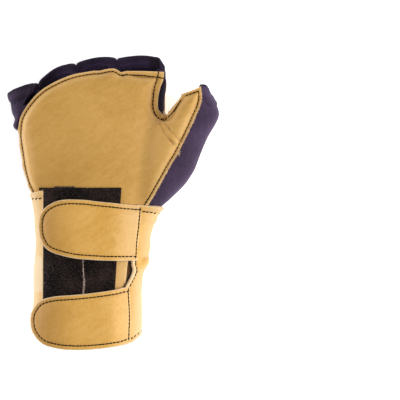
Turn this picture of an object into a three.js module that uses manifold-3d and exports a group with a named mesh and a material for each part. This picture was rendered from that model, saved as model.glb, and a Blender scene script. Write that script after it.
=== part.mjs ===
// A half-finger impact glove for the right hand, with a wrist support. It lies on its back, palm up:
// +Y points to the fingers, +X to the thumb and +Z out of the palm. The walls are all shells laid
// over one hand form, which is a tube of sections for the hand and wrist joined to one for the thumb.
import * as THREE from "three";
import { mergeVertices } from "three/addons/utils/BufferGeometryUtils.js";
import Module from "manifold-3d";

const wasm = await Module();
wasm.setup();

// Lengths along the glove, in millimetres
const CUFF_LENGTH = 101; // from the mouth to the seam between the cuff and the back fabric
const HAND_LENGTH = 95.5; // from that seam to the hem of the index finger

// Widths and depths of the hand form, which is the outside of the fabric
const CUFF_WIDTH = 69;
const CUFF_DEPTH = 41.2;
const HAND_WIDTH = 108;
const HAND_DEPTH = 31;
const THUMB_WIDTH = 36;
const THUMB_DEPTH = 30;
const THUMB_HEIGHT = 22.5; // the middle of the thumb above the surface that the glove lies on

// Walls and layers
const FABRIC = 1; // knitted back
const LEATHER = 1.3;
const STRAP = 1.8; // two leathers sewn together
const HOOK_TAPE = 1.2;
const LOOP_TAPE = 1;
const HEM = 1.3; // the fabric folded back over itself
const PADDING = 4.5; // the swell of the impact pad under the palm leather
const GAP = 0.3; // between one layer and the next
const LAP = 4; // how far the palm leather laps over the fabric
const FLATTENED = 0.5; // how much the underside gives where it rests

// Fingers, webs, hems and tapes
const WEB_RISE = 8; // how far the back rises between two fingers at the hem
const WEB_LENGTH = 24; // how far down the back that rise fades out
const WEB_REACH = 11; // half the width of the valley that it makes
const WEB_WALL = 1;
const WEB_DEPTH = 13;
const HEM_WIDTH = 6;
const CUFF_TUCK = 9; // the fabric runs this far inside the cuff
const PAD_EDGE = 12; // the pad reaches its full swell this far inside the palm's edge
const HOOK_TAPE_WIDTH = 24;
const HOOK_TAPE_LENGTH = 105;
const TAPE_INSET = 5; // from a strap's edge to the loop tape under it

// Offsets of the layers from the hand form, from the inside out
const SKIN = { low: GAP, high: GAP + LEATHER };
const CUFF_LAYER = { low: SKIN.high + GAP, high: SKIN.high + GAP + LEATHER };
const HOOK_LAYER = { low: SKIN.high + GAP, high: SKIN.high + GAP + HOOK_TAPE };
const LOOP_LAYER = { low: HOOK_LAYER.high + GAP, high: HOOK_LAYER.high + GAP + LOOP_TAPE };
const STRAP_LAYER = { low: LOOP_LAYER.high + GAP, high: LOOP_LAYER.high + GAP + STRAP };
const HEM_LAYER = { low: GAP, high: GAP + HEM };

// Heights of the form's underside, so that the cuff and the hems rest on one plane
const CUFF_BASE = CUFF_LAYER.high - FLATTENED;
const HEM_BASE = HEM_LAYER.high - FLATTENED;

// Sections of the wrist: along is a share of CUFF_LENGTH from the mouth, middle and width are shares
// of CUFF_WIDTH, and depth is a share of CUFF_DEPTH. The step at 0.48 is the fold beside the slit.
const WRIST_SECTIONS = [
  { along: -0.04, middle: -0.036, width: 1.003, depth: 1.0 },
  { along: 0.31, middle: -0.021, width: 0.975, depth: 1.0 },
  { along: 0.478, middle: -0.018, width: 0.978, depth: 0.985 },
  { along: 0.565, middle: 0.021, width: 1.042, depth: 0.966 },
  { along: 0.714, middle: 0.03, width: 1.036, depth: 0.942 },
  { along: 0.882, middle: 0.048, width: 1.107, depth: 0.893 },
  { along: 0.983, middle: 0.051, width: 1.158, depth: 0.857 },
];

// Sections of the hand: along is a share of HAND_LENGTH from the seam, middle and width are shares of
// HAND_WIDTH, depth is a share of HAND_DEPTH, and base goes from 0 at the cuff's to 1 at the hems'.
const HAND_SECTIONS = [
  { along: 0.061, middle: 0.024, width: 0.783, depth: 1.083, base: 0.0 },
  { along: 0.146, middle: 0.016, width: 0.824, depth: 1.054, base: 0.05 },
  { along: 0.252, middle: 0.011, width: 0.859, depth: 1.026, base: 0.15 },
  { along: 0.366, middle: 0.013, width: 0.881, depth: 1.0, base: 0.3 },
  { along: 0.481, middle: 0.01, width: 0.906, depth: 0.958, base: 0.45 },
  { along: 0.573, middle: -0.004, width: 0.932, depth: 0.92, base: 0.6 },
  { along: 0.672, middle: -0.018, width: 0.958, depth: 0.853, base: 0.8 },
  { along: 0.737, middle: -0.026, width: 0.981, depth: 0.811, base: 0.9 },
  { along: 0.837, middle: -0.034, width: 1.003, depth: 0.734, base: 1.0 },
  { along: 0.936, middle: -0.042, width: 1.0, depth: 0.654, base: 1.0 },
  { along: 1.05, middle: -0.042, width: 0.986, depth: 0.59, base: 1.0 },
];

// Sections of the thumb: along is a share of HAND_LENGTH from the seam, middle is a share of
// HAND_WIDTH, width of THUMB_WIDTH, depth of THUMB_DEPTH and height of THUMB_HEIGHT.
const THUMB_SECTIONS = [
  { along: -0.125, middle: 0.315, width: 0.378, depth: 0.53, height: 0.98 },
  { along: -0.04, middle: 0.381, width: 0.586, depth: 0.8, height: 0.97 },
  { along: 0.089, middle: 0.456, width: 0.85, depth: 0.97, height: 0.96 },
  { along: 0.196, middle: 0.506, width: 0.928, depth: 1.03, height: 0.96 },
  { along: 0.338, middle: 0.548, width: 0.944, depth: 1.03, height: 0.98 },
  { along: 0.438, middle: 0.585, width: 0.944, depth: 1.0, height: 1.0 },
  { along: 0.524, middle: 0.626, width: 1.0, depth: 0.97, height: 1.02 },
  { along: 0.595, middle: 0.659, width: 0.956, depth: 0.93, height: 1.03 },
  { along: 0.666, middle: 0.668, width: 0.756, depth: 0.87, height: 1.05 },
  { along: 0.737, middle: 0.667, width: 0.52, depth: 0.82, height: 1.07 },
  { along: 0.872, middle: 0.68, width: 0.4, depth: 0.76, height: 1.1 },
];

// The hem's notch on the thumb side of each finger, as shares of HAND_WIDTH and HAND_LENGTH. Bulge is
// how far the hem stands out between notches, and slant how far its valley leans towards the thumb.
const FINGERS = [
  { name: "little", across: -0.327, along: 0.804, bulge: 0.024, slant: 0.35 },
  { name: "ring", across: -0.091, along: 0.94, bulge: 0.04, slant: 0.1 },
  { name: "middle", across: 0.166, along: 0.976, bulge: 0.032, slant: -0.03 },
  { name: "index", across: 0.428, along: 0.99, bulge: 0.018, slant: 0 },
];
const HEM_START = [-0.56, 0.72]; // the little finger's outer corner
const HEM_END = [0.52, 0.88]; // where the index hem meets the palm

// The palm leather's edge, in shares of HAND_WIDTH and HAND_LENGTH, clockwise in stretches between corners
const PALM_NOTCH = [
  [0.466, 0.901],
  [0.45, 0.73],
  [0.444, 0.651],
  [0.463, 0.598],
  [0.491, 0.594],
  [0.523, 0.641],
  [0.586, 0.737],
];
const PALM_THUMB_HEM = [
  [0.586, 0.737],
  [0.642, 0.758],
  [0.699, 0.787],
];
const PALM_THUMB_SEAM = [
  [0.699, 0.787],
  [0.699, 0.673],
  [0.633, 0.495],
  [0.491, 0.224],
  [0.39, 0.01],
  [0.346, -0.075],
];
const PALM_OUTER_SIDE = [
  [-0.371, 0.03],
  [-0.412, 0.146],
  [-0.445, 0.367],
  [-0.453, 0.466],
  [-0.426, 0.598],
  [-0.31, 0.758],
  [-0.143, 0.86],
  [0.037, 0.903],
  [0.139, 0.914],
  [0.205, 0.895],
  [0.466, 0.901],
];
// The tongue is the palm leather's lower end, under the straps, in shares of CUFF_WIDTH and CUFF_LENGTH
const TONGUE = [
  [0.404, 0.808],
  [0.374, 0.027],
  [-0.475, 0.027],
  [-0.475, 0.882],
];

// The leather patch in the crotch of the thumb, on the back, in shares of HAND_WIDTH and HAND_LENGTH
const PATCH_EDGE = [
  [0.38, 0.9],
  [0.345, 0.8],
  [0.337, 0.55],
  [0.343, 0.37],
  [0.43, 0.245],
  [0.51, 0.225],
  [0.64, 0.28],
  [0.745, 0.39],
  [0.79, 0.49],
  [0.785, 0.6],
  [0.72, 0.69],
  [0.66, 0.76],
];

// The straps' edges, in shares of CUFF_WIDTH and CUFF_LENGTH, from the seam round the tip and back
const UPPER_STRAP = [
  [0.45, 0.92],
  [0.134, 0.975],
  [-0.25, 0.985],
  [-0.377, 0.963],
  [-0.48, 0.9],
  [-0.507, 0.785],
  [-0.44, 0.654],
  [-0.345, 0.615],
  [-0.038, 0.58],
  [0.43, 0.575],
];
const LOWER_STRAP = [
  [0.365, 0.4],
  [0.075, 0.372],
  [-0.389, 0.333],
  [-0.536, 0.275],
  [-0.59, 0.16],
  [-0.491, 0.036],
  [-0.253, -0.022],
  [0.075, -0.02],
  [0.37, 0.02],
];

// The cuff's edges on the palm side, in the same shares: the free margin beside the hook tape, the
// seam where the straps are sewn on, the top edges on the back and on the palm side, and the mouth
const CUFF_MARGIN = -0.456;
const CUFF_SEAM = [
  [0.49, 1.1],
  [0.46, 0.8],
  [0.455, 0.56],
  [0.455, 0.5],
  [0.376, 0.4],
  [0.38, -0.1],
];
const CUFF_TOP = [
  [-0.8, 0.975],
  [-0.5, 0.985],
  [0.0, 1.0],
  [0.4, 0.98],
  [0.65, 0.925],
  [1.0, 0.86],
];
const CUFF_PALM_TOP = [
  [-0.8, 0.975],
  [-0.55, 1.015],
  [-0.4, 1.045],
  [0.4, 0.98],
  [0.65, 0.925],
  [1.0, 0.86],
];
const CUFF_MOUTH = [
  [0.8, 0.2],
  [0.51, 0.075],
  [0.4, 0.035],
  [0.15, 0],
  [-0.2, 0],
  [-0.45, 0.03],
  [-0.58, 0.1],
  [-0.8, 0.2],
];

// How the sections are shaped and sampled
const SEAM_SHARE = 0.45; // the widest level of a section, from its underside
const TOP_ROUND = 2.3; // superellipse exponents: 2 is an ellipse, more is fuller
const BASE_ROUND = 3;
const THUMB_ROUND = 2.2;
const OUTER_STEPS = 6; // facets round the little and the index finger
const INNER_STEPS = 3;
const TOP_STEPS = 12;
const THUMB_STEPS = 16;
const FAR = 400; // well outside the glove
const STRAP_SLOPE = { from: 0.2, to: 0.44 }; // where a strap comes down from the tapes to its seam

const { clamp, lerp, smoothstep } = THREE.MathUtils;

// Places in plan
const onHand = ([across, along]) =>
  new THREE.Vector2(across * HAND_WIDTH, CUFF_LENGTH + along * HAND_LENGTH);
const onCuff = ([across, along]) => new THREE.Vector2(across * CUFF_WIDTH, along * CUFF_LENGTH);

const handForm = [
  ...WRIST_SECTIONS.map((s) => ({
    y: s.along * CUFF_LENGTH,
    middle: s.middle * CUFF_WIDTH,
    half: (s.width * CUFF_WIDTH) / 2,
    depth: s.depth * CUFF_DEPTH,
    base: CUFF_BASE,
  })),
  ...HAND_SECTIONS.map((s) => ({
    y: CUFF_LENGTH + s.along * HAND_LENGTH,
    middle: s.middle * HAND_WIDTH,
    half: (s.width * HAND_WIDTH) / 2,
    depth: s.depth * HAND_DEPTH,
    base: lerp(CUFF_BASE, HEM_BASE, s.base),
  })),
];
const thumbForm = THUMB_SECTIONS.map((s) => ({
  y: CUFF_LENGTH + s.along * HAND_LENGTH,
  middle: s.middle * HAND_WIDTH,
  half: (s.width * THUMB_WIDTH) / 2,
  depth: s.depth * THUMB_DEPTH,
  base: s.height * THUMB_HEIGHT - (s.depth * THUMB_DEPTH) / 2,
}));

// One section of a form at a distance y along the glove
function sectionAt(form, y) {
  const next = form.findIndex((s, i) => i > 0 && (s.y >= y || i === form.length - 1));
  const [a, b] = [form[next - 1], form[next]];
  const t = (y - a.y) / (b.y - a.y);
  return Object.fromEntries(Object.keys(a).map((key) => [key, lerp(a[key], b[key], t)]));
}

// The valleys in the back between the fingers
const notches = FINGERS.map((f) => ({ ...f, at: onHand([f.across, f.along]) }));
const valleyX = (notch, y) => notch.at.x + notch.slant * (notch.at.y - y);

function backRise(x, y) {
  const rises = notches.slice(0, -1).map((notch) => {
    const fade = clamp(1 - (notch.at.y - y) / WEB_LENGTH, 0, 1) ** 1.5;
    const near = clamp(1 - Math.abs(x - valleyX(notch, y)) / WEB_REACH, 0, 1) ** 2;
    return WEB_RISE * fade * near;
  });
  return Math.max(...rises);
}

// Heights of a section at a share s of its half width, for its upper and lower side
const arch = (s, exponent) => Math.max(0, 1 - Math.abs(s) ** exponent) ** (1 / exponent);
const handSeam = (section) => section.base + SEAM_SHARE * section.depth;
const thumbSeam = (section) => section.base + section.depth / 2;

// The section's outline as x, z pairs, anticlockwise as seen from the cuff's mouth
function handRing(y, offset) {
  const section = sectionAt(handForm, y);
  const seam = handSeam(section);
  const edges = notches.slice(0, -1).map((n) => (valleyX(n, y) - section.middle) / section.half);
  const shares = [];
  for (let i = 0; i < OUTER_STEPS; i++)
    shares.push(-1 + (edges[0] + 1) * (1 - Math.cos((Math.PI / 2) * (i / OUTER_STEPS))));
  for (const [from, to] of [edges.slice(0, 2), edges.slice(1, 3)])
    for (let i = 0; i < INNER_STEPS; i++) shares.push(lerp(from, to, i / INNER_STEPS));
  for (let i = 0; i <= OUTER_STEPS; i++)
    shares.push(1 - (1 - edges[2]) * (1 - Math.sin((Math.PI / 2) * (i / OUTER_STEPS))));
  const lower = shares.map((s) => {
    const x = section.middle + s * section.half;
    const out = offset(x, y);
    const drop = (SEAM_SHARE * section.depth + out) * arch(s, BASE_ROUND);
    return [section.middle + s * (section.half + out), seam - drop + backRise(x, y) * arch(s, 2)];
  });
  const upper = [];
  for (let i = 1; i < TOP_STEPS; i++) {
    const s = Math.cos((Math.PI * i) / TOP_STEPS);
    const out = offset(section.middle + s * section.half, y);
    const rise = ((1 - SEAM_SHARE) * section.depth + out) * arch(s, TOP_ROUND);
    upper.push([section.middle + s * (section.half + out), seam + rise]);
  }
  return [...lower, ...upper];
}

function thumbRing(y, offset) {
  const section = sectionAt(thumbForm, y);
  const ring = [];
  for (let i = 0; i < THUMB_STEPS; i++) {
    const turn = (2 * Math.PI * i) / THUMB_STEPS;
    const s = -Math.cos(turn);
    const out = offset(section.middle + s * section.half, y);
    const rise = (section.depth / 2 + out) * arch(s, THUMB_ROUND) * -Math.sign(Math.sin(turn));
    ring.push([section.middle + s * (section.half + out), thumbSeam(section) + rise]);
  }
  return ring;
}

// A closed body from a list of triangles
function solid(positions, triangles) {
  const geometry = new THREE.BufferGeometry();
  geometry.setAttribute("position", new THREE.Float32BufferAttribute(positions.flat(), 3));
  geometry.setIndex(triangles.flat());
  return solidOf(geometry);
}

function solidOf(geometry) {
  geometry.deleteAttribute("normal");
  geometry.deleteAttribute("uv");
  const merged = mergeVertices(geometry, 1e-4);
  return new wasm.Manifold(
    new wasm.Mesh({
      numProp: 3,
      vertProperties: merged.attributes.position.array,
      triVerts: new Uint32Array(merged.index.array),
    }),
  );
}

// A solid tube through rings of equal length at the given distances along the glove
function loft(ringAt, offset, distances) {
  const rings = distances.map((y) => ringAt(y, offset).map(([x, z]) => [x, y, z]));
  const size = rings[0].length;
  const positions = rings.flat();
  const triangles = [];
  for (let r = 0; r + 1 < rings.length; r++)
    for (let k = 0; k < size; k++) {
      const [a, b] = [r * size + k, r * size + ((k + 1) % size)];
      triangles.push([a, b + size, b], [a, a + size, b + size]);
    }
  for (const [r, turned] of [
    [0, false],
    [rings.length - 1, true],
  ]) {
    const centre = positions.length;
    const sum = rings[r].reduce((t, p) => t.map((v, i) => v + p[i] / size), [0, 0, 0]);
    positions.push(sum);
    for (let k = 0; k < size; k++) {
      const [a, b] = [r * size + k, r * size + ((k + 1) % size)];
      triangles.push(turned ? [centre, b, a] : [centre, a, b]);
    }
  }
  return solid(positions, triangles);
}

const even = (offset) => (typeof offset === "function" ? offset : () => offset);
const between = (form, low, high) => [
  low,
  ...form.map((s) => s.y).filter((y) => y > low + 1 && y < high - 1),
  high,
];

// The hand form grown by an offset, between two distances along the glove
const wristLow = handForm[0].y;
const handTop = handForm.at(-1).y;
const thumbLow = thumbForm[0].y;
const thumbTop = thumbForm.at(-1).y;
function form(offset, low = wristLow, high = handTop) {
  const tube = loft(handRing, even(offset), between(handForm, low, high));
  if (high < thumbLow + 2) return tube;
  const [from, to] = [Math.max(low, thumbLow), Math.min(high, thumbTop)];
  return tube.add(loft(thumbRing, even(offset), between(thumbForm, from, to)));
}
const layer = ({ low, high }, from, to) => form(high, from, to).subtract(form(low, from, to));

// An upright prism on an outline in plan
function prism(points, low = -FAR, high = FAR) {
  const shape = new THREE.Shape(points);
  const geometry = new THREE.ExtrudeGeometry(shape, { depth: high - low, bevelEnabled: false });
  return solidOf(geometry.translate(0, 0, low));
}

// What is left of an upright body when its whole edge moves inwards
function inwards(body, distance) {
  const turns = Array.from({ length: 8 }, (_, i) => (i * Math.PI) / 4);
  const shifted = turns.map((turn) =>
    body.translate([distance * Math.cos(turn), distance * Math.sin(turn), 0]),
  );
  return shifted.reduce((left, next) => left.intersect(next));
}
const curve = (points, steps) => new THREE.SplineCurve(points).getPoints(steps);
const box = (x0, x1, y0, y1, z0 = -FAR, z1 = FAR) =>
  prism(
    [
      [x0, y0],
      [x1, y0],
      [x1, y1],
      [x0, y1],
    ].map(([x, y]) => new THREE.Vector2(x, y)),
    z0,
    z1,
  );

// The body under a height given over a grid in plan
function under(xs, ys, height) {
  const positions = [];
  for (const y of ys) for (const x of xs) positions.push([x, y, height(x, y)]);
  const count = positions.length;
  for (let i = 0; i < count; i++) positions.push([positions[i][0], positions[i][1], -FAR]);
  const triangles = [];
  const [m, n] = [xs.length, ys.length];
  for (let j = 0; j + 1 < n; j++)
    for (let i = 0; i + 1 < m; i++) {
      const a = j * m + i;
      triangles.push([a, a + 1, a + m + 1], [a, a + m + 1, a + m]);
      triangles.push([a + count, a + m + 1 + count, a + 1 + count]);
      triangles.push([a + count, a + m + count, a + m + 1 + count]);
    }
  const wall = (a, b) => triangles.push([a, a + count, b + count], [a, b + count, b]);
  for (let i = 0; i + 1 < m; i++) {
    wall(i, i + 1);
    wall((n - 1) * m + i + 1, (n - 1) * m + i);
  }
  for (let j = 0; j + 1 < n; j++) {
    wall((j + 1) * m, j * m);
    wall(j * m + m - 1, (j + 1) * m + m - 1);
  }
  return solid(positions, triangles);
}

// The level that parts the palm side from the back: the widest level of the hand, then the thumb's
const crotch = onHand(PALM_NOTCH[4]);
function seamLevel(x, y) {
  const hand = handSeam(sectionAt(handForm, clamp(y, wristLow, handTop)));
  const thumb = thumbSeam(sectionAt(thumbForm, clamp(y, thumbLow, thumbTop)));
  const share = smoothstep(x, crotch.x - WEB_REACH, crotch.x + GAP);
  return y < thumbLow ? hand : lerp(hand, thumb, share);
}
const seamXs = [-FAR, crotch.x - WEB_REACH, crotch.x - WEB_REACH / 2, crotch.x + GAP, FAR];
const seamYs = [-FAR, ...between(handForm, wristLow, handTop), FAR];
const back = under(seamXs, seamYs, seamLevel);
const backClear = back.translate(0, 0, -GAP);
const floor = box(-FAR, FAR, -FAR, FAR, -FAR, 0);

// The height of the palm side of the form
function palmHeight(x, y) {
  const side = (section, seam, rise, exponent) =>
    seam + rise * arch((x - section.middle) / section.half, exponent);
  const hand = sectionAt(handForm, y);
  const rise = (1 - SEAM_SHARE) * hand.depth;
  const handHeight = side(hand, handSeam(hand), rise, TOP_ROUND);
  if (y < thumbLow || y > thumbTop) return handHeight;
  const thumb = sectionAt(thumbForm, y);
  const thumbHeight = side(thumb, thumbSeam(thumb), thumb.depth / 2, THUMB_ROUND);
  return x > thumb.middle - thumb.half ? Math.max(handHeight, thumbHeight) : handHeight;
}

// The palm leather's outline
const palmEdge = [
  ...curve(PALM_NOTCH.map(onHand), 14).slice(0, -1),
  ...curve(PALM_THUMB_HEM.map(onHand), 3).slice(0, -1),
  ...curve(PALM_THUMB_SEAM.map(onHand), 10),
  ...TONGUE.map(onCuff),
  ...curve(PALM_OUTER_SIDE.map(onHand), 24).slice(0, -1),
];

// How far a point lies inside an outline
function inside(edge, x, y) {
  const point = new THREE.Vector3(x, y, 0);
  const near = edge.map((a, i) => {
    const b = edge[(i + 1) % edge.length];
    const line = new THREE.Line3(new THREE.Vector3(a.x, a.y, 0), new THREE.Vector3(b.x, b.y, 0));
    return line.closestPointToPoint(point, true, new THREE.Vector3()).distanceTo(point);
  });
  const crossings = edge.filter((a, i) => {
    const b = edge[(i + 1) % edge.length];
    return a.y > y !== b.y > y && x < lerp(a.x, b.x, (y - a.y) / (b.y - a.y));
  });
  return crossings.length % 2 ? Math.min(...near) : -Math.min(...near);
}

// The padded palm, one leather from the fingers to the end of the tongue
function palmPanel() {
  const leather = form(SKIN.high);
  const steps = (from, to, count) =>
    Array.from({ length: count + 1 }, (_, i) => lerp(from, to, i / count));
  const xs = steps(-0.48 * HAND_WIDTH, 0.75 * HAND_WIDTH, 30);
  const ys = steps(CUFF_LENGTH + 0.02 * HAND_LENGTH, CUFF_LENGTH + 0.96 * HAND_LENGTH, 22);
  const hidden = LEATHER;
  const swell = (x, y) => {
    const share = smoothstep(inside(palmEdge, x, y), 0, PAD_EDGE);
    const wrist = smoothstep(y, ys[0], ys[5]);
    return palmHeight(x, y) + SKIN.high + (PADDING + hidden) * share * wrist - hidden;
  };
  const padded = under(xs, ys, swell);
  return leather.add(padded).intersect(prism(palmEdge)).subtract(back).subtract(form(SKIN.low));
}

// The hem line round the four fingers, in plan
const hemPoints = [onHand(HEM_START), ...notches.map((n) => n.at), onHand(HEM_END)];
const hemSteps = 8;
function hemArc(i) {
  const [a, b] = [hemPoints[i], hemPoints[i + 1]];
  const out = new THREE.Vector2(a.y - b.y, b.x - a.x).normalize();
  return Array.from({ length: hemSteps + 1 }, (_, k) => {
    const t = k / hemSteps;
    const stand = notches[i].bulge * HAND_LENGTH * Math.sin(Math.PI * t) ** 0.6;
    return a.clone().lerp(b, t).addScaledVector(out, t > 0 && t < 1 ? stand : 0);
  });
}
const hemLine = [
  ...notches.flatMap((_, i) => hemArc(i).slice(0, -1)),
  hemPoints.at(-2),
  hemPoints.at(-1),
];

// The thumb's open end, a line in plan from the crotch side outwards
const thumbHem = [...PALM_THUMB_HEM.map(onHand), onHand([0.735, 0.785]), onHand([0.775, 0.72])];
const thumbSide = onHand([0.53, 0.6]).x;

// Everything below the hems of the fingers and of the thumb
function belowHems(down) {
  const fingers = hemLine.map((p) => new THREE.Vector2(p.x, p.y - down));
  const hand = [
    new THREE.Vector2(-FAR, fingers[0].y),
    ...fingers,
    new THREE.Vector2(thumbSide, crotch.y),
    new THREE.Vector2(thumbSide, -FAR),
    new THREE.Vector2(-FAR, -FAR),
  ];
  const top = thumbHem.map((p) => new THREE.Vector2(p.x, p.y - down));
  const thumb = [
    new THREE.Vector2(crotch.x, -FAR),
    new THREE.Vector2(crotch.x, top[0].y),
    ...top,
    new THREE.Vector2(FAR, top.at(-1).y),
    new THREE.Vector2(FAR, -FAR),
  ];
  return prism(hand).add(prism(thumb));
}

// The knitted back, which wraps round the sides and carries the finger ends and the thumb
function backPanel() {
  const low = CUFF_LENGTH - CUFF_TUCK;
  const shell = form(0, low).subtract(form(-FABRIC, low - 1, handTop + 1));
  const openEnds = [
    onHand([-0.6, 0.735]),
    onHand([-0.44, 0.68]),
    ...curve(PALM_OUTER_SIDE.slice(4).map(onHand), 14).slice(1, -1),
    onHand([0.47, 0.9]),
    onHand([0.48, 1.2]),
    onHand([-0.6, 1.2]),
  ];
  return shell
    .intersect(belowHems(0))
    .subtract(inwards(prism(palmEdge), LAP).subtract(back))
    .subtract(prism(openEnds).subtract(back));
}

// The outline of the leather patch in the crotch of the thumb, which ends the index finger's hem
const patchEdge = [
  ...curve(PATCH_EDGE.map(onHand), 26),
  ...PALM_THUMB_HEM.slice(0, 2).reverse().map(onHand),
  onHand([0.5, 0.62]),
  onHand([0.5, 0.9]),
];
const patchPlan = prism(patchEdge);

// A folded hem round the back of one finger
function fingerHem(i) {
  const arc = hemArc(i).map((p) => p.clone());
  arc[0].x += GAP;
  arc.at(-1).x -= GAP;
  if (i === 0) arc.unshift(new THREE.Vector2(-HAND_WIDTH, arc[0].y));
  if (i === notches.length - 1) arc.push(new THREE.Vector2(crotch.x - GAP, hemPoints.at(-1).y));
  const lower = arc.map((p) => new THREE.Vector2(p.x, p.y - HEM_WIDTH)).reverse();
  const low = Math.min(...lower.map((p) => p.y)) - 1;
  return layer(HEM_LAYER, low, handTop)
    .intersect(prism([...arc, ...lower]))
    .subtract(patchPlan)
    .subtract(patchPlan.translate([-2 * GAP, 0, 0]))
    .subtract(patchPlan.translate([0, 2 * GAP, 0]))
    .intersect(backClear)
    .subtract(floor);
}

// The fabric wall between two fingers, from the back up to the palm leather
function web(i) {
  const { x, y: tip } = notches[i].at;
  const palmTop = palmEdge.filter((p) => p.y > crotch.y && p.x < crotch.x);
  const front = palmTop.reduce((a, b) => (Math.abs(a.x - x) < Math.abs(b.x - x) ? a : b)).y;
  const low = front - WEB_DEPTH;
  const profile = [
    [tip - GAP, -FAR],
    [tip - GAP, sectionAt(handForm, tip).base + WEB_RISE + FABRIC + HEM],
    [front - HEM, FAR],
    [low, FAR],
    [low, -FAR],
  ];
  const slab = new THREE.ExtrudeGeometry(
    new THREE.Shape(profile.map(([y, z]) => new THREE.Vector2(y, z))),
    { depth: WEB_WALL, bevelEnabled: false },
  );
  slab.rotateX(Math.PI / 2).rotateZ(Math.PI / 2);
  slab.translate(x - WEB_WALL / 2, 0, 0);
  return solidOf(slab).intersect(form(-FABRIC - GAP, low - 2, handTop));
}

// The hem round the outer side of the thumb's open end
function thumbEndHem() {
  const edge = thumbHem.slice(2);
  const lower = edge.map((p) => new THREE.Vector2(p.x, p.y - HEM_WIDTH)).reverse();
  const outer = new THREE.Vector2(FAR, edge.at(-1).y);
  const band = [...edge, outer, new THREE.Vector2(FAR, lower[0].y), ...lower];
  const clear = edge[0].x + 2 * GAP;
  return layer(HEM_LAYER, thumbLow, handTop)
    .intersect(prism(band))
    .intersect(box(clear, FAR, -FAR, FAR));
}

// The leather patch that lines the crotch between thumb and index finger, on the back
function thumbPatch() {
  return layer(SKIN, thumbLow, handTop)
    .intersect(patchPlan)
    .intersect(backClear)
    .intersect(belowHems(0))
    .subtract(floor);
}

// The leather gauntlet, open on the palm side between its free margin and the straps' seam
function cuff() {
  const mouth = curve(CUFF_MOUTH.map(onCuff), 18);
  const [backSide, palmSide] = [CUFF_TOP, CUFF_PALM_TOP].map((top) =>
    prism([...curve(top.map(onCuff), 14), ...mouth]),
  );
  const body = backSide.intersect(back).add(palmSide.subtract(back));
  const seam = CUFF_SEAM.map(onCuff);
  const margin = CUFF_MARGIN * CUFF_WIDTH;
  const opening = [...seam, new THREE.Vector2(margin, -FAR), new THREE.Vector2(margin, FAR)];
  return layer(CUFF_LAYER, wristLow, 1.08 * CUFF_LENGTH)
    .intersect(body)
    .subtract(prism(opening).subtract(back))
    .subtract(floor);
}

// A strap, from its tip over the tapes down to its seam on the cuff
const seamDrop = STRAP_LAYER.low - CUFF_LAYER.low;
const strapDrop = (x) =>
  seamDrop * smoothstep(x, STRAP_SLOPE.from * CUFF_WIDTH, STRAP_SLOPE.to * CUFF_WIDTH);
const strapSeam = (side) => CUFF_SEAM.map(([across, along]) => onCuff([across + side, along]));

function strap(edge) {
  const outline = curve(edge.map(onCuff), 30);
  const beyondSeam = [...strapSeam(-GAP / CUFF_WIDTH), onCuff([1, -0.1]), onCuff([1, 1.1])];
  const [low, high] = [wristLow, CUFF_LENGTH + 2 * GAP];
  return form((x) => STRAP_LAYER.high - strapDrop(x), low, high)
    .subtract(form((x) => STRAP_LAYER.low - strapDrop(x), low, high))
    .intersect(prism([...outline, onCuff([0.6, edge.at(-1)[1]]), onCuff([0.6, edge[0][1]])]))
    .subtract(prism(beyondSeam))
    .subtract(back);
}

// The loop tape sewn under a strap's tip
function loopTape(edge) {
  const tip = inwards(prism(curve(edge.map(onCuff), 24)), TAPE_INSET);
  const end = STRAP_SLOPE.from * CUFF_WIDTH - TAPE_INSET;
  return layer(LOOP_LAYER, wristLow, CUFF_LENGTH + 2 * GAP)
    .intersect(tip)
    .intersect(box((CUFF_MARGIN + 0.01) * CUFF_WIDTH + TAPE_INSET, end, 0, CUFF_LENGTH))
    .subtract(back);
}

// The two hook tapes sewn side by side on the tongue, running up onto the heel of the palm
function hookTape(low) {
  const top = HOOK_TAPE_LENGTH + 2;
  return layer(HOOK_LAYER, wristLow, top + 1)
    .intersect(box(low, low + HOOK_TAPE_WIDTH, top - HOOK_TAPE_LENGTH, top))
    .subtract(back);
}

// Finishes, taken from the photograph
const finish = (color, roughness) => new THREE.MeshStandardMaterial({ color, roughness });
const palmLeather = finish(0xc79a53, 0.6);
const cuffLeather = finish(0xdaa75c, 0.55);
const knit = finish(0x3c3044, 0.85);
const tape = finish(0x261c1a, 0.95);

const glove = new THREE.Group();
const add = (name, body, material) => {
  const mesh = body.getMesh();
  const geometry = new THREE.BufferGeometry();
  const vertices = new Float32Array(mesh.numVert * 3);
  for (let i = 0; i < mesh.numVert; i++) {
    const from = i * mesh.numProp;
    vertices.set(mesh.vertProperties.subarray(from, from + 3), i * 3);
  }
  geometry.setAttribute("position", new THREE.BufferAttribute(vertices, 3));
  geometry.setIndex(new THREE.BufferAttribute(mesh.triVerts, 1));
  geometry.computeVertexNormals();
  const part = new THREE.Mesh(geometry, material);
  part.name = name;
  glove.add(part);
};

const tapeStart = CUFF_MARGIN * CUFF_WIDTH + GAP;
add("palm_panel", palmPanel(), palmLeather);
add("back_panel", backPanel(), knit);
notches.forEach((finger, i) => add(finger.name + "_finger_hem", fingerHem(i), knit));
["little_ring", "ring_middle", "middle_index"].forEach((pair, i) => add(pair + "_web", web(i), knit));
add("thumb_hem", thumbEndHem(), knit);
add("thumb_patch", thumbPatch(), cuffLeather);
add("cuff", cuff(), cuffLeather);
add("hook_tape_outer", hookTape(tapeStart), tape);
add("hook_tape_inner", hookTape(tapeStart + HOOK_TAPE_WIDTH + GAP), tape);
add("upper_loop_tape", loopTape(UPPER_STRAP), tape);
add("lower_loop_tape", loopTape(LOWER_STRAP), tape);
add("upper_strap", strap(UPPER_STRAP), cuffLeather);
add("lower_strap", strap(LOWER_STRAP), cuffLeather);

// The origin is under the middle of the glove, on the surface that it lies on
const bounds = new THREE.Box3().setFromObject(glove);
const centre = bounds.getCenter(new THREE.Vector3());
glove.position.set(-centre.x, -centre.y, -bounds.min.z);

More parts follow.
